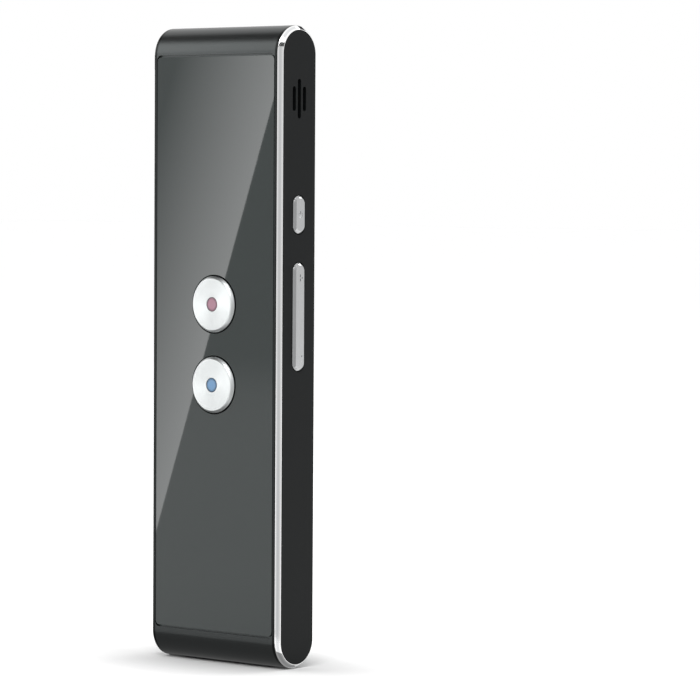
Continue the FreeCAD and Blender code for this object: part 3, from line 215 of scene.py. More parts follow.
enamelled_copper = wound_wire("enamelled_copper", (0.72, 0.28, 0.12), 0.00012)
dress(enamelled_copper, "voice_coil")
cone_paper = grainy("cone_paper", (0.035, 0.034, 0.033), 0, 0.9, 0.00025, 0.00003, 0.3)
dress(cone_paper, "speaker_cone")
surround_rubber = grainy("surround_rubber", (0.02, 0.02, 0.021), 0, 0.55, 0.0003, 0.000006)
dress(surround_rubber, "speaker_surround")


# A microphone in a rubber boot looks out through the slots in each side plate.
# Each is soldered to a strip of amber film that carries its copper tracks.
mic_can = rolled_metal("mic_can", (0.8, 0.62, 0.3), 0.3, (1, 0.1, 1), 0.0002)
dress(mic_can, "right_microphone", "left_microphone")
boot_rubber = grainy("boot_rubber", (0.018, 0.018, 0.019), 0, 0.7, 0.0003, 0.00001)
dress(boot_rubber, "right_mic_boot", "left_mic_boot")
track_film = tracked_board("track_film", (0.42, 0.16, 0.02), (0.5, 0.22, 0.06), 0.0008)
dress(track_film, "right_mic_flex", "left_mic_flex", "side_key_flex")


# The charging socket is a shell of folded stainless steel round a moulded tongue.
# Its mouth shows in the left side plate.
socket_steel = rolled_metal("socket_steel", (0.6, 0.6, 0.6), 0.25, (0.1, 1, 1), 0.0002)
dress(socket_steel, "usb_shell")
tongue_plastic = grainy("tongue_plastic", (0.015, 0.015, 0.016), 0, 0.4, 0.0003, 0.000005)
dress(tongue_plastic, "usb_tongue")


# Each talk key is a turned aluminium cap glued over a black moulding, and the cap's face is spun.
# The spinning leaves rings so fine that light fans out across the face.
def work_on(piece):
    """Makes one piece the one that is worked on."""
    if bpy.context.mode != "OBJECT":
        bpy.ops.object.mode_set(mode="OBJECT")
    bpy.ops.object.select_all(action="DESELECT")
    bpy.context.view_layer.objects.active = piece
    piece.select_set(True)


def pick(piece, kind, test):
    """Opens a piece for editing with only the points, edges or faces that pass a test selected."""
    work_on(piece)
    mesh = piece.data
    bpy.context.tool_settings.mesh_select_mode = [kind == k for k in ("point", "edge", "face")]
    for part in (*mesh.vertices, *mesh.edges, *mesh.polygons):
        part.select = False
    if kind == "point":
        for point in mesh.vertices:
            point.select = test(point.co)
    elif kind == "edge":
        for edge in mesh.edges:
            start, end = (mesh.vertices[i].co for i in edge.vertices)
            edge.select = test(start, end)
    else:
        for face in mesh.polygons:
            face.select = test(face.center, face.normal)
    bpy.ops.object.mode_set(mode="EDIT")


def turned_blank(name, radius, place, start, end, sides):
    """A round blank along Y from start to end, centred on (x, z)."""
    bpy.ops.object.select_all(action="DESELECT")
    bpy.ops.mesh.primitive_cylinder_add(
        vertices=sides, radius=radius, depth=end - start,
        location=(place[0], (start + end) / 2, place[1]), rotation=(math.radians(90), 0, 0))
    blank = bpy.context.object
    blank.name = name
    bpy.ops.object.transform_apply(location=True, rotation=True, scale=True)
    return blank


def fitted(piece, node, angle):
    """Smooths a finished piece and puts it on its node's body, in the node's place."""
    work_on(piece)
    bpy.ops.object.shade_smooth_by_angle(angle=math.radians(angle))
    evened = piece.modifiers.new("evened", "WEIGHTED_NORMAL")
    evened.keep_sharp = True
    bpy.ops.object.modifier_apply(modifier=evened.name)
    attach(piece, frame["nodes"][node]["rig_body"])
    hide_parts(node)
    return piece


def clad(piece, material):
    """Gives a finished piece its material."""
    piece.data.materials.clear()
    piece.data.materials.append(material)


def spun_metal(name, centre_z, colour, ring):
    """Aluminium turned on a face plate: rings about the key's middle, and a sheen that runs round them."""
    material = bpy.data.materials.new(name)
    material.use_nodes = True
    nodes, links = material.node_tree.nodes, material.node_tree.links
    shader = nodes["Principled BSDF"]
    shader.inputs["Metallic"].default_value = 1
    shader.inputs["Roughness"].default_value = 0.3
    shader.inputs["Anisotropic"].default_value = 0.7
    place = nodes.new("ShaderNodeTexCoord")
    centre = nodes.new("ShaderNodeMapping")
    centre.inputs["Location"].default_value = (0, 0, -centre_z)
    links.new(place.outputs["Object"], centre.inputs["Vector"])
    rings = nodes.new("ShaderNodeTexWave")
    rings.wave_type = "RINGS"
    rings.rings_direction = "Y"
    rings.inputs["Scale"].default_value = 1 / ring / 3.2
    rings.inputs["Distortion"].default_value = 0.3
    links.new(centre.outputs["Vector"], rings.inputs["Vector"])
    tint = nodes.new("ShaderNodeMix")
    tint.data_type = "RGBA"
    tint.inputs[6].default_value = [c * 0.94 for c in colour] + [1]
    tint.inputs[7].default_value = [min(c * 1.04, 1) for c in colour] + [1]
    links.new(rings.outputs["Fac"], tint.inputs["Factor"])
    links.new(tint.outputs[2], shader.inputs["Base Color"])
    bump = nodes.new("ShaderNodeBump")
    bump.inputs["Strength"].default_value = 0.15
    bump.inputs["Distance"].default_value = ring / 10
    links.new(rings.outputs["Fac"], bump.inputs["Height"])
    links.new(bump.outputs["Normal"], shader.inputs["Normal"])
    along = nodes.new("ShaderNodeVectorMath")
    along.operation = "CROSS_PRODUCT"
    along.inputs[1].default_value = (0, 1, 0)
    links.new(centre.outputs["Vector"], along.inputs[0])
    length = nodes.new("ShaderNodeVectorMath")
    length.operation = "NORMALIZE"
    links.new(along.outputs["Vector"], length.inputs[0])
    links.new(length.outputs["Vector"], shader.inputs["Tangent"])
    return material


CAP_RADIUS = 0.0062
CAP_FACE = -0.00705
CAP_BACK = -0.0055
CAP_BEVEL = 0.0006
CAP_WALL = 0.00045
CAP_DISH = 0.00008
CAP_SIDES = 128
GUIDE_HOLE = 0.0016
KEY_HEIGHTS = {"upper": 0.0792, "lower": 0.0615}
dress(glass_filled_plastic, "upper_key_base", "lower_key_base")
for key, height in KEY_HEIGHTS.items():
    cap = turned_blank(key + "_cap", CAP_RADIUS, (0, height), CAP_FACE, CAP_BACK, CAP_SIDES)
    pick(cap, "edge", lambda a, b: max(a.y, b.y) < CAP_FACE + CAP_WALL)
    bpy.ops.mesh.bevel(offset=CAP_BEVEL, segments=1, affect="EDGES")
    pick(cap, "edge", lambda a, b: abs(a.y - b.y) < CAP_DISH and min(a.y, b.y) < CAP_BACK - CAP_WALL)
    bpy.ops.mesh.bevel(offset=CAP_DISH, segments=2, affect="EDGES")
    pick(cap, "face", lambda centre, normal: normal.y < -0.99)
    bpy.ops.mesh.inset(thickness=CAP_RADIUS - CAP_BEVEL - CAP_DISH - GUIDE_HOLE)
    bpy.ops.transform.translate(value=(0, CAP_DISH, 0))
    pick(cap, "face", lambda centre, normal: normal.y > 0.99)
    bpy.ops.mesh.inset(thickness=CAP_WALL)
    bpy.ops.mesh.extrude_region_move(
        TRANSFORM_OT_translate={"value": (0, CAP_FACE + CAP_WALL + CAP_DISH - CAP_BACK, 0)})
    bpy.ops.mesh.inset(thickness=CAP_RADIUS - CAP_WALL - GUIDE_HOLE)
    pick(cap, "face", lambda centre, normal: abs(normal.y) > 0.99
         and (centre.x ** 2 + (centre.z - height) ** 2) < 1e-9)
    bpy.ops.mesh.bridge_edge_loops()
    fitted(cap, key + "_key_cap", 25)
    clad(cap, spun_metal(key + "_spun_metal", height, (0.56, 0.58, 0.58), 0.0001))


# A headed light guide stands in the middle of each cap: red in the upper key, blue in the lower.
# It is clear plastic with colour in it, and a painted shade darkens its head towards the edge, where it
# meets the cap.
def light_guide(name, colour, gap_shade, centre_z, radius):
    """Tinted plastic with a painted shade that darkens its head towards the edge."""
    material = grainy(name, colour, 0, 0.25, 0.0008, 0.000002, 0.05)
    nodes, links = material.node_tree.nodes, material.node_tree.links
    shader = nodes["Principled BSDF"]
    tint = shader.inputs["Base Color"].links[0].from_node
    place = next(n for n in nodes if n.type == "TEX_COORD")
    centre = nodes.new("ShaderNodeMapping")
    centre.inputs["Location"].default_value = (0, 0, -centre_z)
    centre.inputs["Scale"].default_value = (1, 0, 1)
    links.new(place.outputs["Object"], centre.inputs["Vector"])
    reach = nodes.new("ShaderNodeVectorMath")
    reach.operation = "LENGTH"
    links.new(centre.outputs["Vector"], reach.inputs[0])
    edge = nodes.new("ShaderNodeMapRange")
    edge.inputs["From Min"].default_value = radius * 0.62
    edge.inputs["From Max"].default_value = radius * 0.98
    links.new(reach.outputs["Value"], edge.inputs["Value"])
    # The head is painted darker towards its edge: a painted shade where it meets the cap.
    shade = nodes.new("ShaderNodeMix")
    shade.data_type = "RGBA"
    shade.inputs[7].default_value = (*gap_shade, 1)
    links.new(edge.outputs["Result"], shade.inputs["Factor"])
    links.new(tint.outputs[2], shade.inputs[6])
    links.new(shade.outputs[2], shader.inputs["Base Color"])
    shader.inputs["Subsurface Weight"].default_value = 0.2
    shader.inputs["Subsurface Scale"].default_value = 0.0005
    return material


GUIDE_RADIUS = 0.00155
GUIDE_TOP = -0.00697
GUIDE_SHOULDER = -0.00607
GUIDE_END = -0.00507
GUIDE_STEM = 0.001
for key, slot, colour, gap_shade in (
    ("upper", "lens_red", (0.4, 0.2, 0.26), (0.12, 0.06, 0.08)),
    ("lower", "lens_blue", (0.15, 0.31, 0.52), (0.02, 0.06, 0.11)),
):
    height = KEY_HEIGHTS[key]
    guide = turned_blank(key + "_guide", GUIDE_RADIUS, (0, height), GUIDE_TOP, GUIDE_SHOULDER, 64)
    pick(guide, "edge", lambda a, b: max(a.y, b.y) < GUIDE_SHOULDER - 0.0001)
    bpy.ops.mesh.bevel(offset=0.00012, segments=3, affect="EDGES")
    pick(guide, "face", lambda centre, normal: normal.y > 0.99)
    bpy.ops.mesh.inset(thickness=GUIDE_RADIUS - GUIDE_STEM)
    bpy.ops.mesh.extrude_region_move(TRANSFORM_OT_translate={"value": (0, GUIDE_END - GUIDE_SHOULDER, 0)})
    fitted(guide, key + "_key_lens", 30)
    clad(guide, light_guide(key + "_light_guide", colour, gap_shade, height, GUIDE_RADIUS))


# The sleeve is one length of extruded aluminium, bead-blasted and anodised dark grey.
# Both of its side edges are then cut to a bright chamfer with a diamond tool.
CHAMFER_START = 0.01818
CHAMFER_END = 0.01822
CHAMFER_MIDDLE = 0.01866
CHAMFER_UNHIGHLIGHTED_HALF = 0.0002
PAINTED_SHADE_START = 0.0174
PAINTED_SHADE_END = 0.01755


def cut_and_anodised(name, anodised, middle, border):
    """Dark anodised metal with a blasted grain, and a painted shade on the band next to each chamfer.

    The uncoated chamfers carry a painted highlight along both of their borders.
    """
    material = bpy.data.materials.new(name)
    material.use_nodes = True
    nodes, links = material.node_tree.nodes, material.node_tree.links
    shader = nodes["Principled BSDF"]
    shader.inputs["Metallic"].default_value = 1
    place = nodes.new("ShaderNodeTexCoord")
    split = nodes.new("ShaderNodeSeparateXYZ")
    links.new(place.outputs["Object"], split.inputs["Vector"])
    side = nodes.new("ShaderNodeMath")
    side.operation = "ABSOLUTE"
    links.new(split.outputs["X"], side.inputs[0])
    chamfer = nodes.new("ShaderNodeMapRange")
    chamfer.inputs["From Min"].default_value = CHAMFER_START
    chamfer.inputs["From Max"].default_value = CHAMFER_END
    links.new(side.outputs["Value"], chamfer.inputs["Value"])
    blast = nodes.new("ShaderNodeTexNoise")
    blast.inputs["Scale"].default_value = 5500
    blast.inputs["Detail"].default_value = 4
    links.new(place.outputs["Object"], blast.inputs["Vector"])
    dark = nodes.new("ShaderNodeMix")
    dark.data_type = "RGBA"
    dark.inputs[6].default_value = [c * 0.88 for c in anodised] + [1]
    dark.inputs[7].default_value = [c * 1.12 for c in anodised] + [1]
    links.new(blast.outputs["Fac"], dark.inputs["Factor"])
    # The band next to each chamfer is painted down to 0.3 of its tone: a painted shade along the strip
    # between the panel and the chamfer.
    painted_shade_band = nodes.new("ShaderNodeMapRange")
    painted_shade_band.inputs["From Min"].default_value = PAINTED_SHADE_START
    painted_shade_band.inputs["From Max"].default_value = PAINTED_SHADE_END
    painted_shade_band.inputs["To Min"].default_value = 1
    painted_shade_band.inputs["To Max"].default_value = 0.3
    links.new(side.outputs["Value"], painted_shade_band.inputs["Value"])
    shaded_anodised = nodes.new("ShaderNodeVectorMath")
    shaded_anodised.operation = "SCALE"
    links.new(dark.outputs[2], shaded_anodised.inputs["Vector"])
    links.new(painted_shade_band.outputs["Result"], shaded_anodised.inputs["Scale"])
    # The chamfer's two borders are painted white, brighter than its grey middle: a painted highlight.
    from_middle = nodes.new("ShaderNodeMath")
    from_middle.operation = "COMPARE"
    from_middle.inputs[1].default_value = CHAMFER_MIDDLE
    from_middle.inputs[2].default_value = CHAMFER_UNHIGHLIGHTED_HALF
    links.new(side.outputs["Value"], from_middle.inputs[0])
    chamfer_painted_highlight = nodes.new("ShaderNodeMix")
    chamfer_painted_highlight.data_type = "RGBA"
    chamfer_painted_highlight.inputs[6].default_value = (*border, 1)
    chamfer_painted_highlight.inputs[7].default_value = (*middle, 1)
    links.new(from_middle.outputs["Value"], chamfer_painted_highlight.inputs["Factor"])
    tint = nodes.new("ShaderNodeMix")
    tint.data_type = "RGBA"
    links.new(chamfer_painted_highlight.outputs[2], tint.inputs[7])
    links.new(chamfer.outputs["Result"], tint.inputs["Factor"])
    links.new(shaded_anodised.outputs["Vector"], tint.inputs[6])
    links.new(tint.outputs[2], shader.inputs["Base Color"])
    gloss = nodes.new("ShaderNodeMix")
    gloss.inputs[2].default_value = 0.31
    gloss.inputs[3].default_value = 0.09
    links.new(chamfer.outputs["Result"], gloss.inputs["Factor"])
    links.new(gloss.outputs[0], shader.inputs["Roughness"])
    bump = nodes.new("ShaderNodeBump")
    bump.inputs["Strength"].default_value = 0.25
    bump.inputs["Distance"].default_value = 0.00001
    links.new(blast.outputs["Fac"], bump.inputs["Height"])
    links.new(bump.outputs["Normal"], shader.inputs["Normal"])
    return material


def round_ended_bar(name, low, high, sides):
    """A bar along X, round above and below: a cylinder whose upper half is drawn up."""
    radius = (high[1] - low[1]) / 2
    middle = low[2] + radius
    bpy.ops.object.select_all(action="DESELECT")
    bpy.ops.mesh.primitive_cylinder_add(
        vertices=sides, radius=radius, depth=high[0] - low[0],
        location=((low[0] + high[0]) / 2, (low[1] + high[1]) / 2, middle),
        rotation=(0, math.radians(90), 0))
    bar = bpy.context.object
    bar.name = name
    bpy.ops.object.transform_apply(location=True, rotation=True, scale=True)
    pick(bar, "point", lambda co: co.z > middle)
    bpy.ops.transform.translate(value=(0, 0, high[2] - low[2] - 2 * radius))
    bpy.ops.object.mode_set(mode="OBJECT")
    return bar


def block(name, low, high):
    """A plain block between two corners, as a start or as a cutter."""
    bpy.ops.object.select_all(action="DESELECT")
    bpy.ops.mesh.primitive_cube_add(size=1, location=(Vector(low) + Vector(high)) / 2)
    made = bpy.context.object
    made.name = name
    made.scale = Vector(high) - Vector(low)
    bpy.ops.object.transform_apply(location=True, rotation=True, scale=True)
    return made


def cut_away(piece, *cutters):
    """Cuts each cutter out of a piece and puts the cutter away."""
    for cutter in cutters:
        work_on(piece)
        cut = piece.modifiers.new("cut", "BOOLEAN")
        cut.operation = "DIFFERENCE"
        cut.solver = "EXACT"
        cut.object = cutter
        bpy.ops.object.modifier_apply(modifier=cut.name)
        bpy.data.meshes.remove(cutter.data)


HOLE_ROWS = 12
HOLE_PITCH = 0.002625
HOLE_RADIUS = 0.0005
HOLE_SIDES = 20
GRILLE_HEIGHT = 0.1119
GRILLE_OUT = 0.0066
THROUGH_BOTTOM = 0.004
BLIND_BOTTOM = 0.00575


def grille_drills(name, bottom, through):
    """The drills for the grille: those that go through the back, or those of its blind border."""
    corner = -(HOLE_ROWS - 1) / 2 * HOLE_PITCH
    first = (corner, GRILLE_HEIGHT + corner)
    drills = turned_blank(name, HOLE_RADIUS, first, bottom, GRILLE_OUT, HOLE_SIDES)
    for step in ((HOLE_PITCH, 0, 0), (0, 0, HOLE_PITCH)):
        work_on(drills)
        row = drills.modifiers.new("row", "ARRAY")
        row.count = HOLE_ROWS
        row.use_relative_offset = False
        row.use_constant_offset = True
        row.constant_offset_displace = step
        bpy.ops.object.modifier_apply(modifier=row.name)

    def spare(co):
        column = round((co.x - corner) / HOLE_PITCH)
        row = round((co.z - GRILLE_HEIGHT - corner) / HOLE_PITCH)
        edges = (min(column, HOLE_ROWS - 1 - column), min(row, HOLE_ROWS - 1 - row))
        return (0 in edges or edges == (1, 1)) == through

    pick(drills, "point", spare)
    bpy.ops.mesh.delete(type="VERT")
    bpy.ops.object.mode_set(mode="OBJECT")
    return drills


HALF_WIDTH = 0.0191
HALF_DEPTH = 0.00625
HEIGHT = 0.14
CHAMFER = 0.0009
CHAMFER_ROLL = 0.0002
PAST = 0.001
PLATE_SEAT = 0.0179
PLATE_RIM = 0.001
CAP_THICK = 0.0017
CAVITY_FRONT = -0.00455
CAVITY_BACK = 0.00475
POCKET_HALF = 0.01747
POCKET_BOTTOM = 0.00702
POCKET_TOP = 0.13385
POCKET_FLOOR = -0.0056
POCKET_CORNER = 0.00112
CORNER_STEPS = 8
TUBE_SIDES = 98
KEY_HOLE_RADIUS = 0.00647
KEY_HOLE_SIDES = 128
sleeve = round_ended_bar(
    "sleeve_tube", (-HALF_WIDTH, -HALF_DEPTH, 0), (HALF_WIDTH, HALF_DEPTH, HEIGHT), TUBE_SIDES)
pick(sleeve, "edge", lambda a, b: abs(a.x - b.x) < PAST)
bpy.ops.mesh.bevel(offset=CHAMFER, segments=1, affect="EDGES")
pick(sleeve, "edge", lambda a, b: abs(a.x - b.x) < 1e-6 and HALF_WIDTH - abs(a.x) > CHAMFER / 2)
bpy.ops.mesh.bevel(offset=CHAMFER_ROLL, segments=3, affect="EDGES")
bpy.ops.object.mode_set(mode="OBJECT")
cavity = round_ended_bar(
    "cavity", (-HALF_WIDTH - PAST, CAVITY_FRONT, CAP_THICK),
    (HALF_WIDTH + PAST, CAVITY_BACK, HEIGHT - CAP_THICK), TUBE_SIDES)
right_seat = round_ended_bar(
    "right_seat", (PLATE_SEAT, PLATE_RIM - HALF_DEPTH, PLATE_RIM),
    (HALF_WIDTH + PAST, HALF_DEPTH - PLATE_RIM, HEIGHT - PLATE_RIM), TUBE_SIDES)
left_seat = round_ended_bar(
    "left_seat", (-HALF_WIDTH - PAST, PLATE_RIM - HALF_DEPTH, PLATE_RIM),
    (-PLATE_SEAT, HALF_DEPTH - PLATE_RIM, HEIGHT - PLATE_RIM), TUBE_SIDES)
pocket = block(
    "pocket", (-POCKET_HALF, -HALF_DEPTH - PAST, POCKET_BOTTOM), (POCKET_HALF, POCKET_FLOOR, POCKET_TOP))
pick(pocket, "edge", lambda a, b: abs(a.y - b.y) > PAST)
bpy.ops.mesh.bevel(offset=POCKET_CORNER, segments=CORNER_STEPS, affect="EDGES")
bpy.ops.object.mode_set(mode="OBJECT")
cut_away(sleeve, cavity, right_seat, left_seat, pocket)
for height in KEY_HEIGHTS.values():
    drill = turned_blank("key_drill", KEY_HOLE_RADIUS, (0, height), -HALF_DEPTH, 0, KEY_HOLE_SIDES)
    cut_away(sleeve, drill)
cut_away(sleeve, grille_drills("through_drills", THROUGH_BOTTOM, True))
cut_away(sleeve, grille_drills("blind_drills", BLIND_BOTTOM, False))
fitted(sleeve, "sleeve", 25)
anodised_aluminium = cut_and_anodised(
    "anodised_aluminium", (0.069, 0.074, 0.074), (0.79, 0.8, 0.81), (1, 1, 1))
clad(sleeve, anodised_aluminium)


# A disc of woven steel net lies behind the grille and keeps dust out of the loudspeaker.
# Random cells of it are painted pale as painted glints, where a wire would catch the light through a hole.
net_wire = rolled_metal("net_wire", (0.2, 0.2, 0.2), 0.3, (1, 1, 1), 0.0003)
nodes, links = net_wire.node_tree.nodes, net_wire.node_tree.links
place = next(n for n in nodes if n.type == "TEX_COORD")
glint_cells = nodes.new("ShaderNodeTexVoronoi")
glint_cells.inputs["Scale"].default_value = 1400
links.new(place.outputs["Object"], glint_cells.inputs["Vector"])
hue = nodes.new("ShaderNodeSeparateXYZ")
links.new(glint_cells.outputs["Color"], hue.inputs["Vector"])
# Cells over the threshold are painted near white as painted glints, and the rest near black.
painted_glint = nodes.new("ShaderNodeMapRange")
painted_glint.inputs["From Min"].default_value = 0.7
painted_glint.inputs["From Max"].default_value = 0.75
painted_glint.inputs["To Min"].default_value = 0.03
painted_glint.inputs["To Max"].default_value = 0.95
links.new(hue.outputs["X"], painted_glint.inputs["Value"])
links.new(painted_glint.outputs["Result"], nodes["Principled BSDF"].inputs["Base Color"])
dress(net_wire, "speaker_net")


# The front panel is polished black plastic, glued into the pocket milled in the sleeve's front.
# Both talk keys stand in its two round holes.
panel_gloss = grainy("panel_gloss", (0.0145, 0.0225, 0.0215), 0, 0.015, 0.004, 0.0000002, 0.04)
PANEL_HALF = 0.0173
PANEL_BOTTOM = 0.0074
PANEL_TOP = 0.1334
PANEL_BACK = -0.00565
PANEL_CORNER = 0.001
panel = block("panel_blank", (-PANEL_HALF, -HALF_DEPTH, PANEL_BOTTOM), (PANEL_HALF, PANEL_BACK, PANEL_TOP))
pick(panel, "edge", lambda a, b: abs(a.y - b.y) > 0.0005)
bpy.ops.mesh.bevel(offset=PANEL_CORNER, segments=CORNER_STEPS, affect="EDGES")
bpy.ops.object.mode_set(mode="OBJECT")
for height in KEY_HEIGHTS.values():
    drill = turned_blank("key_drill", KEY_HOLE_RADIUS, (0, height), -HALF_DEPTH - PAST, 0, KEY_HOLE_SIDES)
    cut_away(panel, drill)
work_on(panel)
ground_edge = panel.modifiers.new("ground_edge", "BEVEL")
ground_edge.width = 0.0001
ground_edge.segments = 2
ground_edge.limit_method = "ANGLE"
ground_edge.angle_limit = math.radians(60)
bpy.ops.object.modifier_apply(modifier=ground_edge.name)
fitted(panel, "front_panel", 50)
clad(panel, panel_gloss)


# The side plates are satin black mouldings let into the sleeve's open ends.
# They hold the microphone slots, the side keys and the charging opening.
def smooth_copy(node, angle):
    """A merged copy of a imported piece, smoothed and shown in its place."""
    source = frame["nodes"][node]
    piece = bpy.data.objects.new(node + "_finished", source.data.copy())
    bpy.context.scene.collection.objects.link(piece)
    work_on(piece)
    if piece.data.has_custom_normals:
        bpy.ops.mesh.customdata_custom_splitnormals_clear()
    bpy.ops.object.mode_set(mode="EDIT")
    bpy.ops.mesh.select_all(action="SELECT")
    bpy.ops.mesh.remove_doubles(threshold=0.000002)
    return fitted(piece, node, angle)


side_plastic = grainy("side_plastic", (0.0055, 0.0065, 0.0068), 0, 0.4, 0.0003, 0.000004)
side_plastic.node_tree.nodes["Principled BSDF"].inputs["Specular IOR Level"].default_value = 0.12
for plate in ("right_side_plate", "left_side_plate"):
    clad(smooth_copy(plate, 25), side_plastic)


# The power key and the volume rocker are bars of polished steel in the right side plate.
# Their long edges are bevelled.
polished_steel = rolled_metal("polished_steel", (0.445, 0.45, 0.455), 0.16, (1, 1, 0.2), 0.0003)
BAR_TOP = 0.01965
BAR_HALF = 0.00185
BAR_BEVEL = 0.00055
FLANGE_FACE = 0.01785
FLANGE_BACK = 0.01735
FLANGE_LIP = 0.0008
BAR_SIDES = 50
LUG_BACK = 0.0161
LUG_HALF = 0.0004
LUG_IN = 0.00175
LUG_OUT = 0.00245
MARK_DEPTH = 0.00012
MARK_HALF = 0.00075
MARK_WIDTH = 0.00015


def side_bar(name, middle, length):
    """A bar along the edge, bevelled all round its outer face."""
    low, high = middle - length / 2, middle + length / 2
    bar = round_ended_bar(name, (FLANGE_BACK, -BAR_HALF, low), (BAR_TOP, BAR_HALF, high), BAR_SIDES)
    pick(bar, "edge", lambda a, b: min(a.x, b.x) > BAR_TOP - BAR_BEVEL)
    bpy.ops.mesh.bevel(offset=BAR_BEVEL, segments=1, affect="EDGES")
    pick(bar, "edge", lambda a, b: abs(a.x - b.x) < 1e-6 and min(a.x, b.x) > BAR_TOP - 1.5 * BAR_BEVEL)
    bpy.ops.mesh.bevel(offset=0.00006, segments=2, affect="EDGES")
    bpy.ops.object.mode_set(mode="OBJECT")
    return bar


def joined(piece, *parts):
    """Puts the parts of one moulding into one piece."""
    work_on(piece)
    for part in parts:
        part.select_set(True)
    bpy.ops.object.join()
    return piece


POWER_HEIGHT = 0.099
POWER_LENGTH = 0.0083
ROCKER_HEIGHT = 0.0768
ROCKER_LENGTH = 0.0236
ROCKER_REACH = 0.0085
power = side_bar("power_bar", POWER_HEIGHT, POWER_LENGTH)
bpy.ops.object.select_all(action="DESELECT")
bpy.ops.mesh.primitive_torus_add(
    major_segments=32, minor_segments=8, major_radius=0.0006, minor_radius=0.00011,
    location=(BAR_TOP, 0, POWER_HEIGHT), rotation=(0, math.radians(90), 0))
power_ring = bpy.context.object
bpy.ops.object.transform_apply(location=True, rotation=True, scale=True)
pick(power_ring, "point", lambda co: co.z > POWER_HEIGHT + 0.0004)
bpy.ops.mesh.delete(type="VERT")
bpy.ops.mesh.select_all(action="SELECT")
bpy.ops.mesh.fill_holes(sides=0)
bpy.ops.object.mode_set(mode="OBJECT")
power_stroke = block(
    "power_stroke", (BAR_TOP - MARK_DEPTH, -0.0001, POWER_HEIGHT + 0.0001),
    (BAR_TOP + PAST, 0.0001, POWER_HEIGHT + 0.0008))
cut_away(power, power_ring, power_stroke)
power_flange = round_ended_bar(
    "power_flange", (FLANGE_BACK, -BAR_HALF - FLANGE_LIP, POWER_HEIGHT - POWER_LENGTH / 2 - FLANGE_LIP),
    (FLANGE_FACE, BAR_HALF + FLANGE_LIP, POWER_HEIGHT + POWER_LENGTH / 2 + FLANGE_LIP), BAR_SIDES)
fitted(joined(power, power_flange), "power_key", 30)
clad(power, polished_steel)

rocker = side_bar("rocker_bar", ROCKER_HEIGHT, ROCKER_LENGTH)
plus, minus = ROCKER_HEIGHT + ROCKER_REACH, ROCKER_HEIGHT - ROCKER_REACH
for height, half_y, half_z in (
    (plus, MARK_HALF, MARK_WIDTH), (plus, MARK_WIDTH, MARK_HALF), (minus, MARK_HALF, MARK_WIDTH),
):
    low = (BAR_TOP - MARK_DEPTH, -half_y, height - half_z)
    cut_away(rocker, block("mark", low, (BAR_TOP + PAST, half_y, height + half_z)))
lugs = []
for front, back in ((-LUG_OUT, -LUG_IN), (LUG_IN, LUG_OUT)):
    low = (LUG_BACK, front, ROCKER_HEIGHT - LUG_HALF)
    lugs.append(block("lug", low, (FLANGE_FACE, back, ROCKER_HEIGHT + LUG_HALF)))
fitted(joined(rocker, *lugs), "volume_rocker", 30)
clad(rocker, polished_steel)


# The studio: a pale floor that keeps the shadow, with a painted shadow round the object's foot, and a
# background that is white to the eye.
# Two soft lamps and a low even light from all round show the object at a plain level.
def white_to_the_eye(nodes, links):
    """One where a ray comes from the camera, a glossy surface or a clear one, and nought elsewhere."""
    path = nodes.new("ShaderNodeLightPath")
    either = nodes.new("ShaderNodeMath")
    either.operation = "MAXIMUM"
    links.new(path.outputs["Is Camera Ray"], either.inputs[0])
    links.new(path.outputs["Is Glossy Ray"], either.inputs[1])
    any_of_them = nodes.new("ShaderNodeMath")
    any_of_them.operation = "MAXIMUM"
    links.new(either.outputs["Value"], any_of_them.inputs[0])
    links.new(path.outputs["Is Transmission Ray"], any_of_them.inputs[1])
    return any_of_them.outputs["Value"]


FLOOR_SIZE = 12
EVEN_LIGHT = 0.45
world = bpy.data.worlds.new("studio")
bpy.context.scene.world = world
world.use_nodes = True
nodes, links = world.node_tree.nodes, world.node_tree.links
seen = nodes["Background"]
seen.inputs["Color"].default_value = (1, 1, 1, 1)
strength = nodes.new("ShaderNodeMapRange")
strength.inputs["To Min"].default_value = EVEN_LIGHT
strength.inputs["To Max"].default_value = 1
links.new(white_to_the_eye(nodes, links), strength.inputs["Value"])
links.new(strength.outputs["Result"], seen.inputs["Strength"])

bpy.ops.object.select_all(action="DESELECT")
bpy.ops.mesh.primitive_plane_add(size=FLOOR_SIZE, location=(0, 0, cad_box[0].z))
floor = bpy.context.object
floor.name = "studio_floor"
bpy.ops.object.transform_apply(location=True, rotation=True, scale=True)
floor_paint = bpy.data.materials.new("floor_paint")
floor_paint.use_nodes = True
nodes, links = floor_paint.node_tree.nodes, floor_paint.node_tree.links
shader = nodes["Principled BSDF"]
shader.inputs["Base Color"].default_value = (0.7, 0.7, 0.7, 1)
shader.inputs["Roughness"].default_value = 0.9
shader.inputs["Emission Color"].default_value = (1, 1, 1, 1)
place = nodes.new("ShaderNodeTexCoord")
# The floor's glow fades out towards the object's foot, in an oval: a painted shadow round the base, added
# to the shadow the floor keeps.
painted_shadow_shape = nodes.new("ShaderNodeMapping")
painted_shadow_shape.inputs["Scale"].default_value = (0.5, 1, 1)
links.new(place.outputs["Object"], painted_shadow_shape.inputs["Vector"])
away = nodes.new("ShaderNodeVectorMath")
away.operation = "LENGTH"
links.new(painted_shadow_shape.outputs["Vector"], away.inputs[0])
painted_shadow_fade = nodes.new("ShaderNodeMapRange")
painted_shadow_fade.inputs["From Min"].default_value = 0.006
painted_shadow_fade.inputs["From Max"].default_value = 0.034
painted_shadow_fade.inputs["To Min"].default_value = 0
painted_shadow_fade.inputs["To Max"].default_value = 0.62
links.new(away.outputs["Value"], painted_shadow_fade.inputs["Value"])
glow = nodes.new("ShaderNodeMath")
glow.operation = "MULTIPLY"
links.new(painted_shadow_fade.outputs["Result"], glow.inputs[1])
links.new(white_to_the_eye(nodes, links), glow.inputs[0])
links.new(glow.outputs["Value"], shader.inputs["Emission Strength"])
floor.data.materials.append(floor_paint)


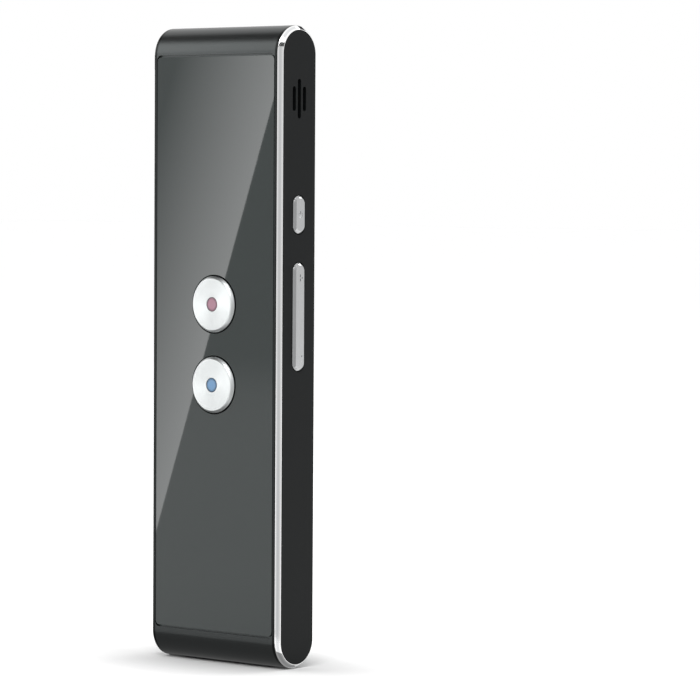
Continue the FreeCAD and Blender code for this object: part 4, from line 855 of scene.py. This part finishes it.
def soft_lamp(name, place, aim, size, power):
    """A square soft box that points at a spot."""
    light = bpy.data.lights.new(name, "AREA")
    light.shape = "SQUARE"
    light.size = size
    light.energy = power
    lamp = bpy.data.objects.new(name, light)
    lamp.location = place
    lamp.rotation_euler = (Vector(aim) - Vector(place)).to_track_quat("-Z", "Y").to_euler()
    bpy.context.scene.collection.objects.link(lamp)
    return lamp


MIDDLE = (0, 0, 0.07)
soft_lamp("key_lamp", (0.5, -0.7, 0.9), MIDDLE, 0.6, 7)
soft_lamp("fill_lamp", (-0.9, -0.4, 0.6), MIDDLE, 0.8, 5)
soft_lamp("rim_lamp", (0.3, 0.9, 0.8), MIDDLE, 0.6, 5)


# Cards round the set that only shiny surfaces see. A grey one shades the bright chamfer and dark ones cut
# its ends, a dark one overhead draws the band along the rounded top, two lie on the floor by the base,
# and a bright wedge lies across the gloss panel.
def card(name, corners, place, turn, strength, fade=None):
    """A flat card for reflections. With a fade it goes from one strength to another across its width."""
    bpy.ops.object.select_all(action="DESELECT")
    bpy.ops.mesh.primitive_circle_add(
        vertices=len(corners), fill_type="NGON", location=place,
        rotation=[math.radians(a) for a in turn])
    made = bpy.context.object
    made.name = name
    for point, corner in zip(made.data.vertices, corners):
        point.co = (*corner, 0)
    material = bpy.data.materials.new(name)
    material.use_nodes = True
    nodes, links = material.node_tree.nodes, material.node_tree.links
    nodes.remove(nodes["Principled BSDF"])
    light = nodes.new("ShaderNodeEmission")
    light.inputs["Strength"].default_value = strength
    links.new(light.outputs["Emission"], nodes["Material Output"].inputs["Surface"])
    if fade:
        spot = nodes.new("ShaderNodeTexCoord")
        split = nodes.new("ShaderNodeSeparateXYZ")
        links.new(spot.outputs["Object"], split.inputs["Vector"])
        falling = nodes.new("ShaderNodeMapRange")
        falling.inputs["From Max"].default_value = fade[0]
        falling.inputs["To Min"].default_value = strength
        falling.inputs["To Max"].default_value = fade[1]
        links.new(split.outputs["X"], falling.inputs["Value"])
        links.new(falling.outputs["Result"], light.inputs["Strength"])
    made.data.materials.append(material)
    made.visible_camera = False
    made.visible_diffuse = False
    made.visible_transmission = False
    made.visible_volume_scatter = False
    made.visible_shadow = False
    return made


def oblong(width, height):
    return [(x * width / 2, y * height / 2) for x, y in ((-1, -1), (1, -1), (1, 1), (-1, 1))]


card("panel_wedge", [(0, -0.0807), (0, 0.0807), (0.0435, 0.0687)],
     (-0.1747, -0.1987, 0.0739), (88.075, -14.994, 137.829), 4.6, (0.03, 1.1))
card("overhead_flag", oblong(1.35, 1.35), (-0.725, -0.625, 0.8), (0, 0, 0), 0.065)
card("eye_card", oblong(0.05, 0.158), (0.0556, -0.0395, 0.079), (90, 0, 47.6), 0.65)
card("eye_flag", oblong(0.05, 0.02), (0.0556, -0.0395, 0.168), (90, 0, 47.6), 0.01)
card("back_flag", oblong(0.05, 0.03), (0.01, 0.086, 0.19), (-59.4, 0, 0), 0.02)
card("foot_flag", oblong(0.1, 0.045), (-0.028, -0.0225, 0.0004), (0, 0, 0), 0.28)
card("foot_card", oblong(0.04, 0.07), (0.0425, -0.02, 0.0004), (0, 0, 0), 1)


# The camera stands in front and to the right of the translator, at the photograph's viewing angle.
# Its long lens keeps the upright edges almost parallel.
CAMERA_PLACE = (0.5531467, -0.6063632, 0.1066262)
CAMERA_YAW = 40.5724
CAMERA_PITCH = -2.6172
CAMERA_ROLL = 0.3381
eye = bpy.data.cameras.new("camera")
eye.sensor_width = 36
eye.lens = 191.5
camera = bpy.data.objects.new("camera", eye)
camera.matrix_world = (
    Matrix.Translation(CAMERA_PLACE)
    @ Matrix.Rotation(math.radians(CAMERA_YAW), 4, "Z")
    @ Matrix.Rotation(math.radians(90 + CAMERA_PITCH), 4, "X")
    @ Matrix.Rotation(math.radians(CAMERA_ROLL), 4, "Z")
)
bpy.context.scene.collection.objects.link(camera)
bpy.context.scene.camera = camera
bpy.context.scene.view_settings.view_transform = "Standard"
